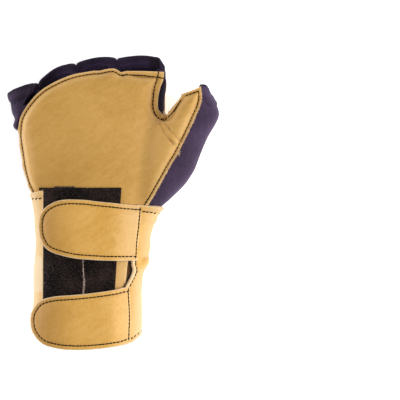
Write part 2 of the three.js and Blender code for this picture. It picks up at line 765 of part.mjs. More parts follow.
export default glove;
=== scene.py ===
import math

import bpy
import numpy as np
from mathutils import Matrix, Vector


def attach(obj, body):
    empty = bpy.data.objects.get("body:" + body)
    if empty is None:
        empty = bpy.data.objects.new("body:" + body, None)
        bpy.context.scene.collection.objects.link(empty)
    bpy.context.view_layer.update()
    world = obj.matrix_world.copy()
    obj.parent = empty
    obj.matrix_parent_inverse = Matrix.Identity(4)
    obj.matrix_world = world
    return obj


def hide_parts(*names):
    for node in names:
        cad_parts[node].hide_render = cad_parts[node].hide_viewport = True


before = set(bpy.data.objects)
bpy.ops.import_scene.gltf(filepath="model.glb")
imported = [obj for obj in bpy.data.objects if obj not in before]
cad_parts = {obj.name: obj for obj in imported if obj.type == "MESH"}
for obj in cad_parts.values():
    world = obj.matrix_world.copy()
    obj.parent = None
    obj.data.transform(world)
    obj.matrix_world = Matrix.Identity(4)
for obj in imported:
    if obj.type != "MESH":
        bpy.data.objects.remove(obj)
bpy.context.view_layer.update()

# The form that the glove keeps
# An empty hand shape, as the maker's last has it: a wrist and palm tube that runs out into the
# fingers, and a thumb tube that joins it. Every leather and knit lies at its own height over it.
# Lengths are in millimetres, x to the thumb, y to the fingers and z up out of the palm.
CUFF_LENGTH, HAND_LENGTH = 101, 95.5
CUFF_WIDTH, CUFF_DEPTH = 69, 41.2
HAND_WIDTH, HAND_DEPTH = 108, 31
THUMB_WIDTH, THUMB_DEPTH, THUMB_HEIGHT = 36, 30, 22.5
CUFF_BASE, HEM_BASE = 2.7, 1.1
HOOK_TAPE_START = -0.456 * CUFF_WIDTH + 0.3

# Shares of the lengths above: along, middle, width, depth
WRIST_SECTIONS = [
    (-0.04, -0.036, 1.003, 1.0),
    (0.31, -0.021, 0.975, 1.0),
    (0.478, -0.018, 0.978, 0.985),
    (0.565, 0.021, 1.042, 0.966),
    (0.714, 0.03, 1.036, 0.942),
    (0.882, 0.048, 1.107, 0.893),
    (0.983, 0.051, 1.158, 0.857),
]
# Along, middle, width, depth, and how far the underside has come from the cuff's level to the hems'
HAND_SECTIONS = [
    (0.061, 0.024, 0.783, 1.083, 0.0),
    (0.146, 0.016, 0.824, 1.054, 0.05),
    (0.252, 0.011, 0.859, 1.026, 0.15),
    (0.366, 0.013, 0.881, 1.0, 0.3),
    (0.481, 0.01, 0.906, 0.958, 0.45),
    (0.573, -0.004, 0.932, 0.92, 0.6),
    (0.672, -0.018, 0.958, 0.853, 0.8),
    (0.737, -0.026, 0.981, 0.811, 0.9),
    (0.837, -0.034, 1.003, 0.734, 1.0),
    (0.936, -0.042, 1.0, 0.654, 1.0),
    (1.05, -0.042, 0.986, 0.59, 1.0),
]
# Along, middle, width, depth, height
THUMB_SECTIONS = [
    (-0.125, 0.315, 0.378, 0.53, 0.98),
    (-0.04, 0.381, 0.586, 0.8, 0.97),
    (0.089, 0.456, 0.85, 0.97, 0.96),
    (0.196, 0.506, 0.928, 1.03, 0.96),
    (0.338, 0.548, 0.944, 1.03, 0.98),
    (0.438, 0.585, 0.944, 1.0, 1.0),
    (0.524, 0.626, 1.0, 0.97, 1.02),
    (0.595, 0.659, 0.956, 0.93, 1.03),
    (0.666, 0.668, 0.756, 0.87, 1.05),
    (0.737, 0.667, 0.52, 0.82, 1.07),
    (0.872, 0.68, 0.4, 0.76, 1.1),
]
# The hem's notch on the thumb side of each finger: across, along, bulge, slant
FINGERS = [
    ("little", -0.327, 0.804, 0.024, 0.35),
    ("ring", -0.091, 0.94, 0.04, 0.1),
    ("middle", 0.166, 0.976, 0.032, -0.03),
    ("index", 0.428, 0.99, 0.018, 0),
]
SEAM_SHARE = 0.45
TOP_ROUND, BASE_ROUND, THUMB_ROUND = 2.3, 3, 2.2
WEB_RISE, WEB_LENGTH, WEB_REACH = 8, 24, 11
FILLET = 5  # how softly the thumb runs into the hand
THUMB_START = CUFF_LENGTH - 0.125 * HAND_LENGTH


def on_hand(points):
    return np.array([(x * HAND_WIDTH, CUFF_LENGTH + y * HAND_LENGTH) for x, y in points])


def on_cuff(points):
    return np.array([(x * CUFF_WIDTH, y * CUFF_LENGTH) for x, y in points])


def eased(rows, softness=2.5, step=0.5):
    """Rows of y and other columns, filled in every half millimetre and smoothed."""
    rows = np.array(rows, float)
    y = np.arange(rows[0, 0] - 12, rows[-1, 0] + 12, step)
    reach = int(4 * softness / step)
    weights = np.exp(-0.5 * (np.arange(-reach, reach + 1) * step / softness) ** 2)
    weights /= weights.sum()
    columns = []
    for column in rows.T[1:]:
        filled = np.interp(y, rows[:, 0], column)
        columns.append(np.convolve(np.pad(filled, reach, "edge"), weights, "valid"))
    return y, columns


hand_rows = [
    (a * CUFF_LENGTH, m * CUFF_WIDTH, w * CUFF_WIDTH / 2, d * CUFF_DEPTH, CUFF_BASE)
    for a, m, w, d in WRIST_SECTIONS
] + [
    (
        CUFF_LENGTH + a * HAND_LENGTH,
        m * HAND_WIDTH,
        w * HAND_WIDTH / 2,
        d * HAND_DEPTH,
        CUFF_BASE + (HEM_BASE - CUFF_BASE) * b,
    )
    for a, m, w, d, b in HAND_SECTIONS
]
thumb_rows = [
    (
        CUFF_LENGTH + a * HAND_LENGTH,
        m * HAND_WIDTH,
        w * THUMB_WIDTH / 2,
        d * THUMB_DEPTH,
        h * THUMB_HEIGHT,
    )
    for a, m, w, d, h in THUMB_SECTIONS
]
hand_y, hand_columns = eased(hand_rows)
thumb_y, thumb_columns = eased(thumb_rows)
notches = [(name, *on_hand([(x, y)])[0], bulge, slant) for name, x, y, bulge, slant in FINGERS]


def hand_section(y):
    return [np.interp(y, hand_y, column) for column in hand_columns]


def thumb_section(y):
    return [np.interp(y, thumb_y, column) for column in thumb_columns]


def smooth(x, low, high):
    t = np.clip((x - low) / (high - low), 0, 1)
    return t * t * (3 - 2 * t)


def back_rise(x, y):
    rise = np.zeros_like(x)
    for _, notch_x, notch_y, _, slant in notches[:-1]:
        fade = np.clip(1 - (notch_y - y) / WEB_LENGTH, 0, 1) ** 1.5
        beside = np.abs(x - notch_x - slant * (notch_y - y))
        rise = np.maximum(rise, WEB_RISE * fade * np.clip(1 - beside / WEB_REACH, 0, 1) ** 2)
    return rise


def rounded(u, v, width, depth, exponent):
    """About how far outside a superellipse a point is, given as shares of its half sizes."""
    u, v = np.maximum(u, 1e-4), np.maximum(v, 1e-4)
    rho = (u**exponent + v**exponent) ** (1 / exponent)
    steep = np.hypot((u / rho) ** (exponent - 1) / width, (v / rho) ** (exponent - 1) / depth)
    return (rho - 1) / steep


def form(p):
    """About how far outside the hand form each point is."""
    x, y, z = p.T
    middle, half, depth, base = hand_section(y)
    seam = base + SEAM_SHARE * depth
    lower = SEAM_SHARE * depth
    level = z - back_rise(x, y) * smooth((seam - z) / lower, 0, 0.8)
    u = np.abs(x - middle) / half
    above = rounded(u, (level - seam) / (depth - lower), half, depth - lower, TOP_ROUND)
    below = rounded(u, (seam - level) / lower, half, lower, BASE_ROUND)
    hand = np.where(level > seam, above, below)
    middle, half, depth, height = thumb_section(y)
    u, v = np.abs(x - middle) / half, np.abs(z - height) / (depth / 2)
    thumb = np.maximum(rounded(u, v, half, depth / 2, THUMB_ROUND), THUMB_START - y)
    share = np.clip(0.5 + 0.5 * (thumb - hand) / FILLET, 0, 1)
    return thumb * (1 - share) + hand * share - FILLET * share * (1 - share)


def slope(field, p, step=0.05):
    """The gradient of a field at each point."""
    columns = []
    for axis in np.eye(3) * step:
        columns.append((field(p + axis) - field(p - axis)) / (2 * step))
    return np.stack(columns, 1)


CROTCH = on_hand([(0.491, 0.594)])[0]


def seam_level(x, y):
    """The height that parts the palm side from the back."""
    _, _, depth, base = hand_section(y)
    hand = base + SEAM_SHARE * depth
    height = thumb_section(np.maximum(y, THUMB_START))[3]
    share = smooth(x, CROTCH[0] - WEB_REACH, CROTCH[0] + 0.3)
    share *= 1 - smooth(y, 168, 178) * (1 - smooth(x, 53.5, 56))
    return np.where(y < THUMB_START, hand, hand + (height - hand) * share)


# Sheets cut to an outline
# A sheet is a stretch of a wall at some height over the form, such as a leather or the knit. It is
# meshed in squares, cut where its outline says, and given its thickness.
def curve(points, steps):
    """A smooth open line through points, as a spline of equal spans."""
    p = np.array(points, float)
    q = np.vstack([2 * p[0] - p[1], p, 2 * p[-1] - p[-2]])
    t = np.linspace(0, len(p) - 1, steps + 1)
    i = np.minimum(t.astype(int), len(p) - 2)
    f = (t - i)[:, None]
    a, b, c, d = q[i], q[i + 1], q[i + 2], q[i + 3]
    ease = 2 * b + (c - a) * f + (2 * a - 5 * b + 4 * c - d) * f**2 + (3 * b - a - 3 * c + d) * f**3
    return ease / 2


def exact_apart(line, x, y):
    near = np.full(x.shape, 1e9)
    for (ax, ay), (bx, by) in zip(line, line[1:]):
        dx, dy = bx - ax, by - ay
        t = np.clip(((x - ax) * dx + (y - ay) * dy) / max(dx * dx + dy * dy, 1e-12), 0, 1)
        near = np.minimum(near, (x - ax - t * dx) ** 2 + (y - ay - t * dy) ** 2)
    return np.sqrt(near)


def exact_inside(edge, x, y):
    odd = np.zeros(x.shape, bool)
    for (ax, ay), (bx, by) in zip(edge, np.roll(edge, -1, 0)):
        if ay != by:
            odd ^= ((ay > y) != (by > y)) & (x < ax + (y - ay) / (by - ay) * (bx - ax))
    return np.where(odd, 1, -1) * exact_apart(np.vstack([edge, edge[:1]]), x, y)


CHART_STEP = 0.5
CHART_X = np.arange(-75, 110, CHART_STEP)
CHART_Y = np.arange(-15, 215, CHART_STEP)
charts = {}


def charted(exact, shape, x, y):
    """A distance in the plan, read from a chart that is drawn once for each outline."""
    key = (exact.__name__, shape.tobytes())
    if key not in charts:
        charts[key] = exact(shape, *np.meshgrid(CHART_X, CHART_Y, indexing="ij"))
    chart = charts[key]
    u = np.clip((x - CHART_X[0]) / CHART_STEP, 0, len(CHART_X) - 1.01)
    v = np.clip((y - CHART_Y[0]) / CHART_STEP, 0, len(CHART_Y) - 1.01)
    i, j = u.astype(int), v.astype(int)
    f, g = u - i, v - j
    low = chart[i, j] * (1 - f) + chart[i + 1, j] * f
    high = chart[i, j + 1] * (1 - f) + chart[i + 1, j + 1] * f
    return low * (1 - g) + high * g


def apart(line, x, y):
    """How far each point lies from a line through plan points."""
    return charted(exact_apart, line, x, y)


def inside(edge, x, y):
    """How far each point lies inside a closed outline."""
    return charted(exact_inside, edge, x, y)


def ripple(p, size, seed, waves=14):
    """A smooth random unevenness about one unit high, whose swells are about one size wide."""
    chance = np.random.default_rng(seed)
    total = np.zeros(len(p))
    for _ in range(waves):
        way = chance.normal(size=3)
        way *= 2 * math.pi / (size * chance.uniform(0.7, 1.6) * np.linalg.norm(way))
        total += np.sin(p @ way + chance.uniform(0, 2 * math.pi))
    return total / math.sqrt(waves)


def net(values, low, pitch):
    """The surface where sampled values pass through zero, as one point a cell joined in squares."""
    inner = values < 0
    shape = np.array(values.shape)
    total = np.zeros((*(shape - 1), 3))
    count = np.zeros(shape - 1)
    for axis in range(3):
        one = [slice(None)] * 3
        two = [slice(None)] * 3
        one[axis], two[axis] = slice(0, -1), slice(1, None)
        one, two = tuple(one), tuple(two)
        crossing = inner[one] != inner[two]
        at = np.argwhere(crossing)
        a, b = values[one][crossing], values[two][crossing]
        point = at.astype(float)
        point[:, axis] += a / (a - b)
        sides = [k for k in range(3) if k != axis]
        for i in (0, 1):
            for j in (0, 1):
                cell = at.copy()
                cell[:, sides[0]] -= i
                cell[:, sides[1]] -= j
                good = np.all((cell >= 0) & (cell < shape - 1), 1)
                c = tuple(cell[good].T)
                np.add.at(total, c, point[good])
                np.add.at(count, c, 1)
    active = count > 0
    number = np.full(count.shape, -1)
    number[active] = np.arange(active.sum())
    points = total[active] / count[active][:, None] * pitch + low
    squares = []
    for axis in range(3):
        one = [slice(1, -1)] * 3
        two = [slice(1, -1)] * 3
        one[axis], two[axis] = slice(0, -1), slice(1, None)
        a, b = inner[tuple(one)], inner[tuple(two)]
        at = np.argwhere(a != b)
        out = a[a != b]
        at += 1
        at[:, axis] -= 1
        j, k = [(1, 2), (2, 0), (0, 1)][axis]
        corner = []
        for dj, dk in ((1, 1), (0, 1), (0, 0), (1, 0)):
            cell = at.copy()
            cell[:, j] -= dj
            cell[:, k] -= dk
            corner.append(number[tuple(cell.T)])
        square = np.stack(corner, 1)
        square[~out] = square[~out][:, ::-1]
        squares.append(square)
    return points, np.vstack(squares)


def used_only(points, squares):
    keep = np.unique(squares)
    number = np.full(len(points), -1)
    number[keep] = np.arange(len(keep))
    return points[keep], number[squares]


def border(squares):
    """The edges that only one square has, in its own order."""
    edges = np.concatenate([squares[:, [i, (i + 1) % 4]] for i in range(4)])
    size = squares.max() + 1
    key = edges[:, 0] * size + edges[:, 1]
    other = edges[:, 1] * size + edges[:, 0]
    return edges[~np.isin(key, other)]


def cut(points, squares, region):
    """Keeps the squares inside a region, without corners that only touch, and their main part."""
    centre = points[squares].mean(1)
    squares = squares[region(centre) > 0]
    while True:
        ends = np.bincount(border(squares)[:, 0], minlength=squares.max() + 1)
        pinched = np.flatnonzero(ends > 1)
        if not len(pinched):
            break
        squares = squares[~np.isin(squares, pinched).any(1)]
    label = np.arange(len(points))
    while True:
        lowest = label[squares].min(1)
        new = label.copy()
        np.minimum.at(new, squares.ravel(), np.repeat(lowest, 4))
        new = new[new]
        if (new == label).all():
            break
        label = new
    parts, sizes = np.unique(label[squares[:, 0]], return_counts=True)
    return used_only(points, squares[label[squares[:, 0]] == parts[sizes.argmax()]])


USUAL_HEIGHT, USUAL_REACH = 3, 6  # no sheet's face is further than this from the form


def wall(name, high, low, region, box, pitch=0.8, roll=0.0, relief=None, tone=None):
    """A sheet between two heights over the form, cut to a region, as a closed mesh in metres.
    Roll rounds its cut edges, from 0 for square to 1 for a folded edge. For its finish its points
    keep how far they are from the cut edge and how far the relief lifts them, in millimetres, and
    the tone, which is above zero where it is paler and below where it is darker. The finish paints
    shade where the relief sinks, and the tone holds painted light and shade as well as paler leather."""
    corners = np.array(box, float)
    count = np.ceil((corners[1] - corners[0]) / pitch).astype(int) + 1
    grid = np.stack(np.meshgrid(*[np.arange(n) * pitch for n in count], indexing="ij"), -1)
    spots = grid.reshape(-1, 3) + corners[0]

    def surface(p):
        return form(p) - high(p) - (relief(p) if relief else 0)

    value = form(spots) - USUAL_HEIGHT
    near = np.abs(value) < USUAL_REACH
    value[near] = surface(spots[near])
    points, squares = net(value.reshape(count), corners[0], pitch)
    points, squares = cut(points, squares, region)
    rim = np.unique(border(squares))
    # Each round brings the points closer to the surface, and those of the rim to the cut
    for _ in range(3):
        steep = slope(surface, points)
        points -= (surface(points) / (steep**2).sum(1))[:, None] * steep
        at = points[rim]
        steep = slope(surface, at)
        steep /= np.linalg.norm(steep, axis=1)[:, None]
        way = slope(region, at)
        way -= (way * steep).sum(1)[:, None] * steep
        size = np.maximum((way**2).sum(1), 0.05)
        move = (-region(at) / size)[:, None] * way
        far = np.linalg.norm(move, axis=1)[:, None]
        points[rim] += move * np.minimum(1, 1.2 * pitch / np.maximum(far, 1e-9))
    steep = slope(surface, points)
    normal = steep / np.linalg.norm(steep, axis=1)[:, None]
    lift = relief(points) if relief else np.zeros(len(points))
    thick = high(points) + lift - low(points)
    tint = tone(points) if tone else np.zeros(len(points))
    return closed(name, points, squares, normal, thick, region, roll, lift, tint)


def closed(name, points, squares, normal, thick, region, roll, lift, tint):
    """Gives an open sheet its underside and its edges, which take the second finish."""
    size = len(points)
    under = points - normal * thick[:, None]
    edges = border(squares)
    rim = np.unique(edges)
    layers = [points, under]
    faces = [squares, squares[:, ::-1] + size]
    steps = 4 if roll else 1
    rows = [rim]
    if roll:
        way = slope(region, points[rim])
        way -= (way * normal[rim]).sum(1)[:, None] * normal[rim]
        way /= -np.maximum(np.linalg.norm(way, axis=1), 1e-6)[:, None]
        middle = (points[rim] + under[rim]) / 2
        half = thick[rim, None] / 2
        for i in range(1, steps):
            turn = math.pi * i / steps
            bulge = way * half * math.sin(turn) * roll
            layers.append(middle + normal[rim] * half * math.cos(turn) + bulge)
            rows.append(2 * size + (i - 1) * len(rim) + np.arange(len(rim)))
    rows.append(rim + size)
    place = np.full(size, -1)
    place[rim] = np.arange(len(rim))
    a, b = place[edges[:, 0]], place[edges[:, 1]]
    for one, two in zip(rows, rows[1:]):
        faces.append(np.stack([one[b], one[a], two[a], two[b]], 1))
    points = np.vstack(layers)
    points[:, 2] = np.maximum(points[:, 2], 0)
    piece = solid(name, points, np.vstack(faces))
    extra = np.zeros(len(points) - 2 * size)
    from_edge = np.maximum(region(layers[0]), 0)
    for key, row in (("edge", from_edge), ("relief", lift), ("tone", tint)):
        values = piece.data.attributes.new(key, "FLOAT", "POINT")
        values.data.foreach_set("value", np.concatenate([row, row, extra]))
    finish = np.arange(len(piece.data.polygons)) >= len(squares)
    piece.data.polygons.foreach_set("material_index", finish.astype(np.int32))
    return piece


MIDDLE = np.array([15.448, 96.96, 0])  # from the wrist's middle to the middle of the glove's box
SHARP_ANGLE = 50  # degrees between faces, above which their edge stays crisp


def solid(name, points, faces):
    """A mesh object from points in millimetres and faces of equal size."""
    mesh = bpy.data.meshes.new(name)
    sides = faces.shape[1]
    mesh.vertices.add(len(points))
    mesh.vertices.foreach_set("co", ((points - MIDDLE) / 1000).ravel())
    mesh.loops.add(faces.size)
    mesh.loops.foreach_set("vertex_index", faces.ravel().astype(np.int32))
    mesh.polygons.add(len(faces))
    mesh.polygons.foreach_set("loop_start", np.arange(0, faces.size, sides, dtype=np.int32))
    mesh.update(calc_edges=True)
    mesh.validate()
    mesh.shade_smooth()
    mesh.set_sharp_from_angle(angle=math.radians(SHARP_ANGLE))
    piece = bpy.data.objects.new(name, mesh)
    bpy.context.scene.collection.objects.link(piece)
    return piece


# Palm
# One piece of soft tan grain leather, sewn down round its edge over a shock pad, with the tongue
# that runs down the wrist. Its edge is cut raw and lies flat outside the stitches.
PALM_NOTCH = [
    (0.465, 0.897), (0.463, 0.844), (0.441, 0.776), (0.428, 0.697), (0.43, 0.634), (0.45, 0.602),
    (0.472, 0.589), (0.494, 0.597), (0.523, 0.641), (0.586, 0.737),
]
PALM_THUMB_HEM = [(0.586, 0.737), (0.642, 0.758), (0.699, 0.787)]
PALM_THUMB_SEAM = [
    (0.699, 0.787), (0.699, 0.673), (0.633, 0.495), (0.553, 0.311), (0.507, 0.224), (0.402, 0.01),
    (0.355, -0.075),
]
PALM_OUTER_SIDE = [
    (-0.371, 0.03), (-0.412, 0.146), (-0.445, 0.367), (-0.453, 0.466), (-0.426, 0.598),
    (-0.31, 0.758), (-0.143, 0.86), (0.0, 0.897), (0.055, 0.901), (0.1, 0.912), (0.145, 0.918),
    (0.175, 0.906), (0.197, 0.892), (0.235, 0.9), (0.33, 0.9), (0.465, 0.897),
]
TONGUE = [
    (0.404, 0.808), (0.395, 0.62), (0.376, 0.56), (0.364, 0.48), (0.356, 0.42), (0.362, 0.36),
    (0.374, 0.027), (-0.475, 0.027), (-0.475, 0.882),
]
palm_edge = np.vstack(
    [
        curve(on_hand(PALM_NOTCH), 36)[:-1],
        curve(on_hand(PALM_THUMB_HEM), 6)[:-1],
        curve(on_hand(PALM_THUMB_SEAM), 24),
        on_cuff(TONGUE),
        curve(on_hand(PALM_OUTER_SIDE), 75)[:-1],
    ]
)
LEATHER, GAP = 1.3, 0.3
DENT = 0.75  # how wide and deep a tight row of stitches pulls the leather in
PADDING = 4.5
PAD_EDGE = 10
# Stitches that aren't a plain row along an edge, in millimetres
NOTCH_ROW = [
    (46.8, 187.2), (45.6, 182.2), (43.9, 176.8), (43.2, 170.7), (42.7, 164.6), (43.4, 159.8),
    (45.6, 155.7), (47.6, 154.4), (51.0, 153.7),
]
NOTCH_ROW_END = [(51.0, 153.7), (55.5, 157.5), (62.6, 167.8)]
TOP_ROW_END = [(21.5, 183.2), (25.2, 184.2), (34, 184.1), (40.8, 183.4), (46.2, 182.8), (50.6, 182.0)]
# Two creases that fold from the crotch into the root of the thumb
CREASES = [
    [(49.5, 153.5), (54, 147.4), (57.5, 142.5), (61.5, 139.3)],
    [(47.6, 151.8), (50.2, 146.6), (53, 141.5), (57.3, 136.6)],
]


def bell(x, wide):
    """One at zero and none far from it, for a groove, a fold or a row of stitches."""
    return np.exp(-((x / wide) ** 2))


def line_hollow(line, x, y, wide):
    """One on a line and none away from it."""
    return bell(apart(line, x, y), wide)


def palm_lip(x, y):
    """The raw edge outside the stitches, which is wider round the crotch of the thumb."""
    wide = smooth(x, 20, 38) * smooth(y, 146, 154) * (1 - smooth(x, 53, 62))
    return 2.1 + 2.0 * wide


notch_row = curve(NOTCH_ROW, 40)
notch_row_end = curve(NOTCH_ROW_END, 12)
top_row_end = curve(TOP_ROW_END, 24)
creases = [curve(line, 16) for line in CREASES]


def palm_height(p):
    x, y, _ = p.T
    depth = inside(palm_edge, x, y)
    across = np.clip((depth - palm_lip(x, y)) / PAD_EDGE, 0, 1)
    wrist = smooth(y, CUFF_LENGTH + 2, CUFF_LENGTH + 24)
    return GAP + LEATHER + PADDING * (1 - (1 - across) ** 2.4) * wrist


def palm_relief(p):
    x, y, _ = p.T
    depth = inside(palm_edge, x, y)
    sewn = smooth(y, 99, 104)
    row = DENT * bell(depth - palm_lip(x, y), DENT) * sewn
    row = np.maximum(row, 0.7 * line_hollow(notch_row[6:], x, y, DENT))
    fold = sum(line_hollow(line, x, y, 0.8) for line in creases)
    ridge = line_hollow((creases[0] + creases[1]) / 2, x, y, 2.0)
    lip = bell(depth, 2.0) * ripple(p, 9, 3)
    swell = ripple(p * [1, 0.55, 1], 26, 5) * smooth(depth, 4, 16) * smooth(y, 100, 120)
    lump = ripple(p, 8, 6) * smooth(depth, 3, 9) * smooth(y, 100, 120)
    # Fine wrinkles fan out from the crotch of the thumb
    reach = np.hypot(x - CROTCH[0], y - CROTCH[1])
    turn = np.arctan2(y - CROTCH[1], x - CROTCH[0])
    fan = np.sin(19 * turn + 1.5 * np.sin(reach / 7)) * smooth(reach, 7, 13) * (1 - smooth(reach, 20, 44))
    fan *= smooth(depth, 4, 8)
    return 0.3 * swell + 0.08 * lump + 0.16 * fan + 0.3 * lip * sewn + 0.5 * ridge - 1.0 * fold - row


def palm_tone(p):
    """Painted shade makes the palm a little darker towards the wrist on its outer side, and painted
    highlights make it paler towards the thumb and on the ridge inside its stitches, most on the outer
    side. It is also paler down the tongue and at its raw edge."""
    x, y, _ = p.T
    depth = inside(palm_edge, x, y)
    low = (1 - smooth(y, 118, 172)) * (1 - smooth(x, -22, 12))
    left = 1 - smooth(x, -50, -20)
    ridge = bell(depth - palm_lip(x, y) - 1.9, 1.3) * smooth(y, 104, 110)
    thumb = smooth(x, 22, 46) * (1 - smooth(y, 150, 168))
    tongue = 1 - smooth(y, 62, 76)
    tone = 0.25 * tongue + 0.1 * thumb - 0.14 * low * smooth(depth, 4, 9) + ridge * (0.2 + 0.36 * left)
    return tone + 0.25 * (1 - smooth(depth, 0.8, 1.9))


def palm_region(p):
    """The outline, and down the outer side of the hand as far as the seam."""
    x, y, z = p.T
    wrapped = 3 * smooth(y, 99, 106) * (1 - smooth(y, 138, 150)) * (x < -30)
    return np.minimum(inside(palm_edge, x, y) + wrapped, z - seam_level(x, y))


def flat(height):
    return lambda p: np.full(len(p), float(height))


def linear(shade):
    """An sRGB hex colour as the linear one that a node takes."""
    parts = [int(shade[i : i + 2], 16) / 255 for i in (1, 3, 5)]
    return [*(c / 12.92 if c < 0.04045 else ((c + 0.055) / 1.055) ** 2.4 for c in parts), 1]


def add(tree, kind, inputs, **settings):
    """Adds a node with its settings, and its inputs as values or as links."""
    node = tree.nodes.new("ShaderNode" + kind)
    for key, value in settings.items():
        setattr(node, key, value)
    for key, value in inputs.items():
        if isinstance(value, bpy.types.NodeSocket):
            tree.links.new(value, node.inputs[key])
        else:
            node.inputs[key].default_value = value
    return node


def blank(name):
    """A new material with its nodes cleared, and the place on the object to start from."""
    material = bpy.data.materials.new(name)
    material.use_nodes = True
    tree = material.node_tree
    tree.nodes.clear()
    place = add(tree, "TexCoord", {}).outputs["Object"]
    return material, tree, place


def per_mm(size):
    """The texture scale whose features are about one size in millimetres."""
    return 1000 / size


def grain_leather(name, base, deep, bright, crease, pale_and_highlight):
    """Full-grain cowhide, drum dyed and waxed: a soft low gloss over fine pebbles, with painted shade in
    its folds and stitch grooves, painted light and shade where its tone says, and a raw edge that
    shows the hide's pale core."""
    material, tree, place = blank(name)
    cloud = add(tree, "TexNoise", {"Vector": place, "Scale": per_mm(34), "Detail": 3.0})
    # The hide's growth lines run across the palm, drawn a little coarser than the real ones
    along = add(
        tree,
        "Mapping",
        {"Vector": place, "Rotation": (0, 0, 0.55), "Scale": (2.6, 1, 1)},
        vector_type="TEXTURE",
    )
    patch = add(tree, "TexNoise", {"Vector": along.outputs[0], "Scale": per_mm(3.2), "Detail": 4.0})
    fleck = add(tree, "TexNoise", {"Vector": place, "Scale": per_mm(1.6), "Detail": 3.0})
    # Pebbles are 0.4 mm across on the hide, drawn at 1.1 mm so that they show
    pebble = add(tree, "TexVoronoi", {"Vector": place, "Scale": per_mm(1.1)})
    relief = add(tree, "Attribute", {}, attribute_name="relief").outputs["Fac"]
    tone = add(tree, "Attribute", {}, attribute_name="tone").outputs["Fac"]
    edge = add(tree, "Attribute", {}, attribute_name="edge").outputs["Fac"]
    worn = add(tree, "Math", {0: edge, 1: fleck.outputs[0]}, operation="ADD")
    colour = linear(deep)
    # Layers of colour: what each follows, from where to where it grows, its most, and its shade
    for source, start, end, most, shade in [
        (cloud.outputs[0], 0.35, 0.65, 1.0, base),
        (patch.outputs[0], 0.4, 0.75, 0.45, bright),
        (fleck.outputs[0], 0.45, 0.85, 0.2, crease),
        # Painted shade where the relief sinks into folds, creases and stitch grooves, then the tone: its
        # paler marks are painted highlights and paler leather, its darker ones painted shade
        (relief, -0.35, -0.95, 0.8, crease),
        (tone, 0.0, 1.0, 0.9, pale_and_highlight),
        (tone, 0.0, -1.0, 0.9, crease),
        (worn.outputs[0], 1.25, 0.55, 0.8, pale_and_highlight),
    ]:
        share = add(tree, "MapRange", {0: source, 1: start, 2: end, 4: most}).outputs[0]
        layer = {0: share, 6: colour, 7: linear(shade)}
        colour = add(tree, "Mix", layer, data_type="RGBA").outputs[2]
    height = add(tree, "Math", {0: pebble.outputs[0], 1: fleck.outputs[0]}, operation="ADD")
    bump = add(tree, "Bump", {"Height": height.outputs[0], "Strength": 0.35, "Distance": 0.00025})
    gloss = add(tree, "MapRange", {0: fleck.outputs[0], 1: 0.3, 2: 0.7, 3: 0.5, 4: 0.66})
    shader = add(
        tree,
        "BsdfPrincipled",
        {
            "Base Color": colour,
            "Roughness": gloss.outputs[0],
            "Normal": bump.outputs[0],
            "IOR": 1.45,
            "Specular IOR Level": 0.32,
            "Sheen Weight": 0.04,
            "Sheen Roughness": 0.3,
        },
    )
    add(tree, "OutputMaterial", {"Surface": shader.outputs[0]})
    return material


def flesh_side(name, base, deep):
    """The unfinished side and cut edge of a hide, sueded: matt, pale and fibrous."""
    material, tree, place = blank(name)
    nap = add(tree, "TexNoise", {"Vector": place, "Scale": per_mm(0.9), "Detail": 4.0})
    cloud = add(tree, "TexNoise", {"Vector": place, "Scale": per_mm(7), "Detail": 2.0})
    mixed = add(tree, "Math", {0: nap.outputs[0], 1: cloud.outputs[0]}, operation="MULTIPLY")
    shade = add(tree, "MapRange", {0: mixed.outputs[0], 1: 0.14, 2: 0.38})
    colour = add(tree, "Mix", {0: shade.outputs[0], 6: linear(deep), 7: linear(base)}, data_type="RGBA")
    bump = add(tree, "Bump", {"Height": nap.outputs[0], "Strength": 0.7, "Distance": 0.0004})
    shader = add(
        tree,
        "BsdfPrincipled",
        {
            "Base Color": colour.outputs[2],
            "Roughness": 0.95,
            "Normal": bump.outputs[0],
            "Sheen Weight": 0.35,
            "Sheen Roughness": 0.6,
        },
    )
    add(tree, "OutputMaterial", {"Surface": shader.outputs[0]})
    return material


def dress(piece, *finishes):
    for finish in finishes:
        piece.data.materials.append(finish)


palm_grain = grain_leather(
    "tan_grain_leather_drum_dyed", "#c4964b", "#b98b40", "#cea259", "#7a4f1c", "#e6c28e"
)
palm_suede = flesh_side("tan_leather_flesh_side", "#dcb47c", "#b98c55")

palm = wall(
    "palm_leather",
    palm_height,
    flat(GAP),
    palm_region,
    [(-54, 1, 5), (80, 194, 48)],
    relief=palm_relief,
    tone=palm_tone,
)
dress(palm, palm_grain, palm_suede)
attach(palm, "root")
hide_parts("palm_panel")

# Palm stitches
# A row of lockstitches in dark brown polyester thread, each sunk at both ends into the leather.
STITCH = 2.5  # a stitch's length, and the pitch of its row
THREAD, FINE_THREAD = 0.5, 0.28  # radius, on the leather and on the hems
# Along a stitch: where its points are, how far each stands up, and the share of the thread's radius
STITCH_CHORDS = np.linspace(-0.5, 0.5, 5) * STITCH
STITCH_RISE = np.array([-0.16, 0.02, 0.08, 0.02, -0.16])
STITCH_GIRTH = np.array([0.6, 0.95, 1.0, 0.95, 0.6])


def face_at(x, y, high, above=True):
    """Where a sheet's face is, straight above or below points of the plan, and its direction."""
    levels = np.linspace(60, -8, 69)
    if not above:
        levels = levels[::-1]
    spots = np.stack(np.broadcast_arrays(x[:, None], y[:, None], levels), -1).reshape(-1, 3)
    value = form(spots).reshape(len(x), -1) - USUAL_HEIGHT
    first = np.maximum(np.argmax(value < 0, 1), 1)
    points = np.column_stack([x, y, levels[first]])
    rise = [0, 0, 0.05]
    for _ in range(6):
        steep = (form(points + rise) - form(points - rise)) / 0.1
        steep = np.where(np.abs(steep) < 0.15, 0.15 * (1 if above else -1), steep)
        points[:, 2] -= np.clip((form(points) - high(points)) / steep, -3, 3)
    way = slope(lambda p: form(p) - high(p), points)
    return points, way / np.linalg.norm(way, axis=1)[:, None]


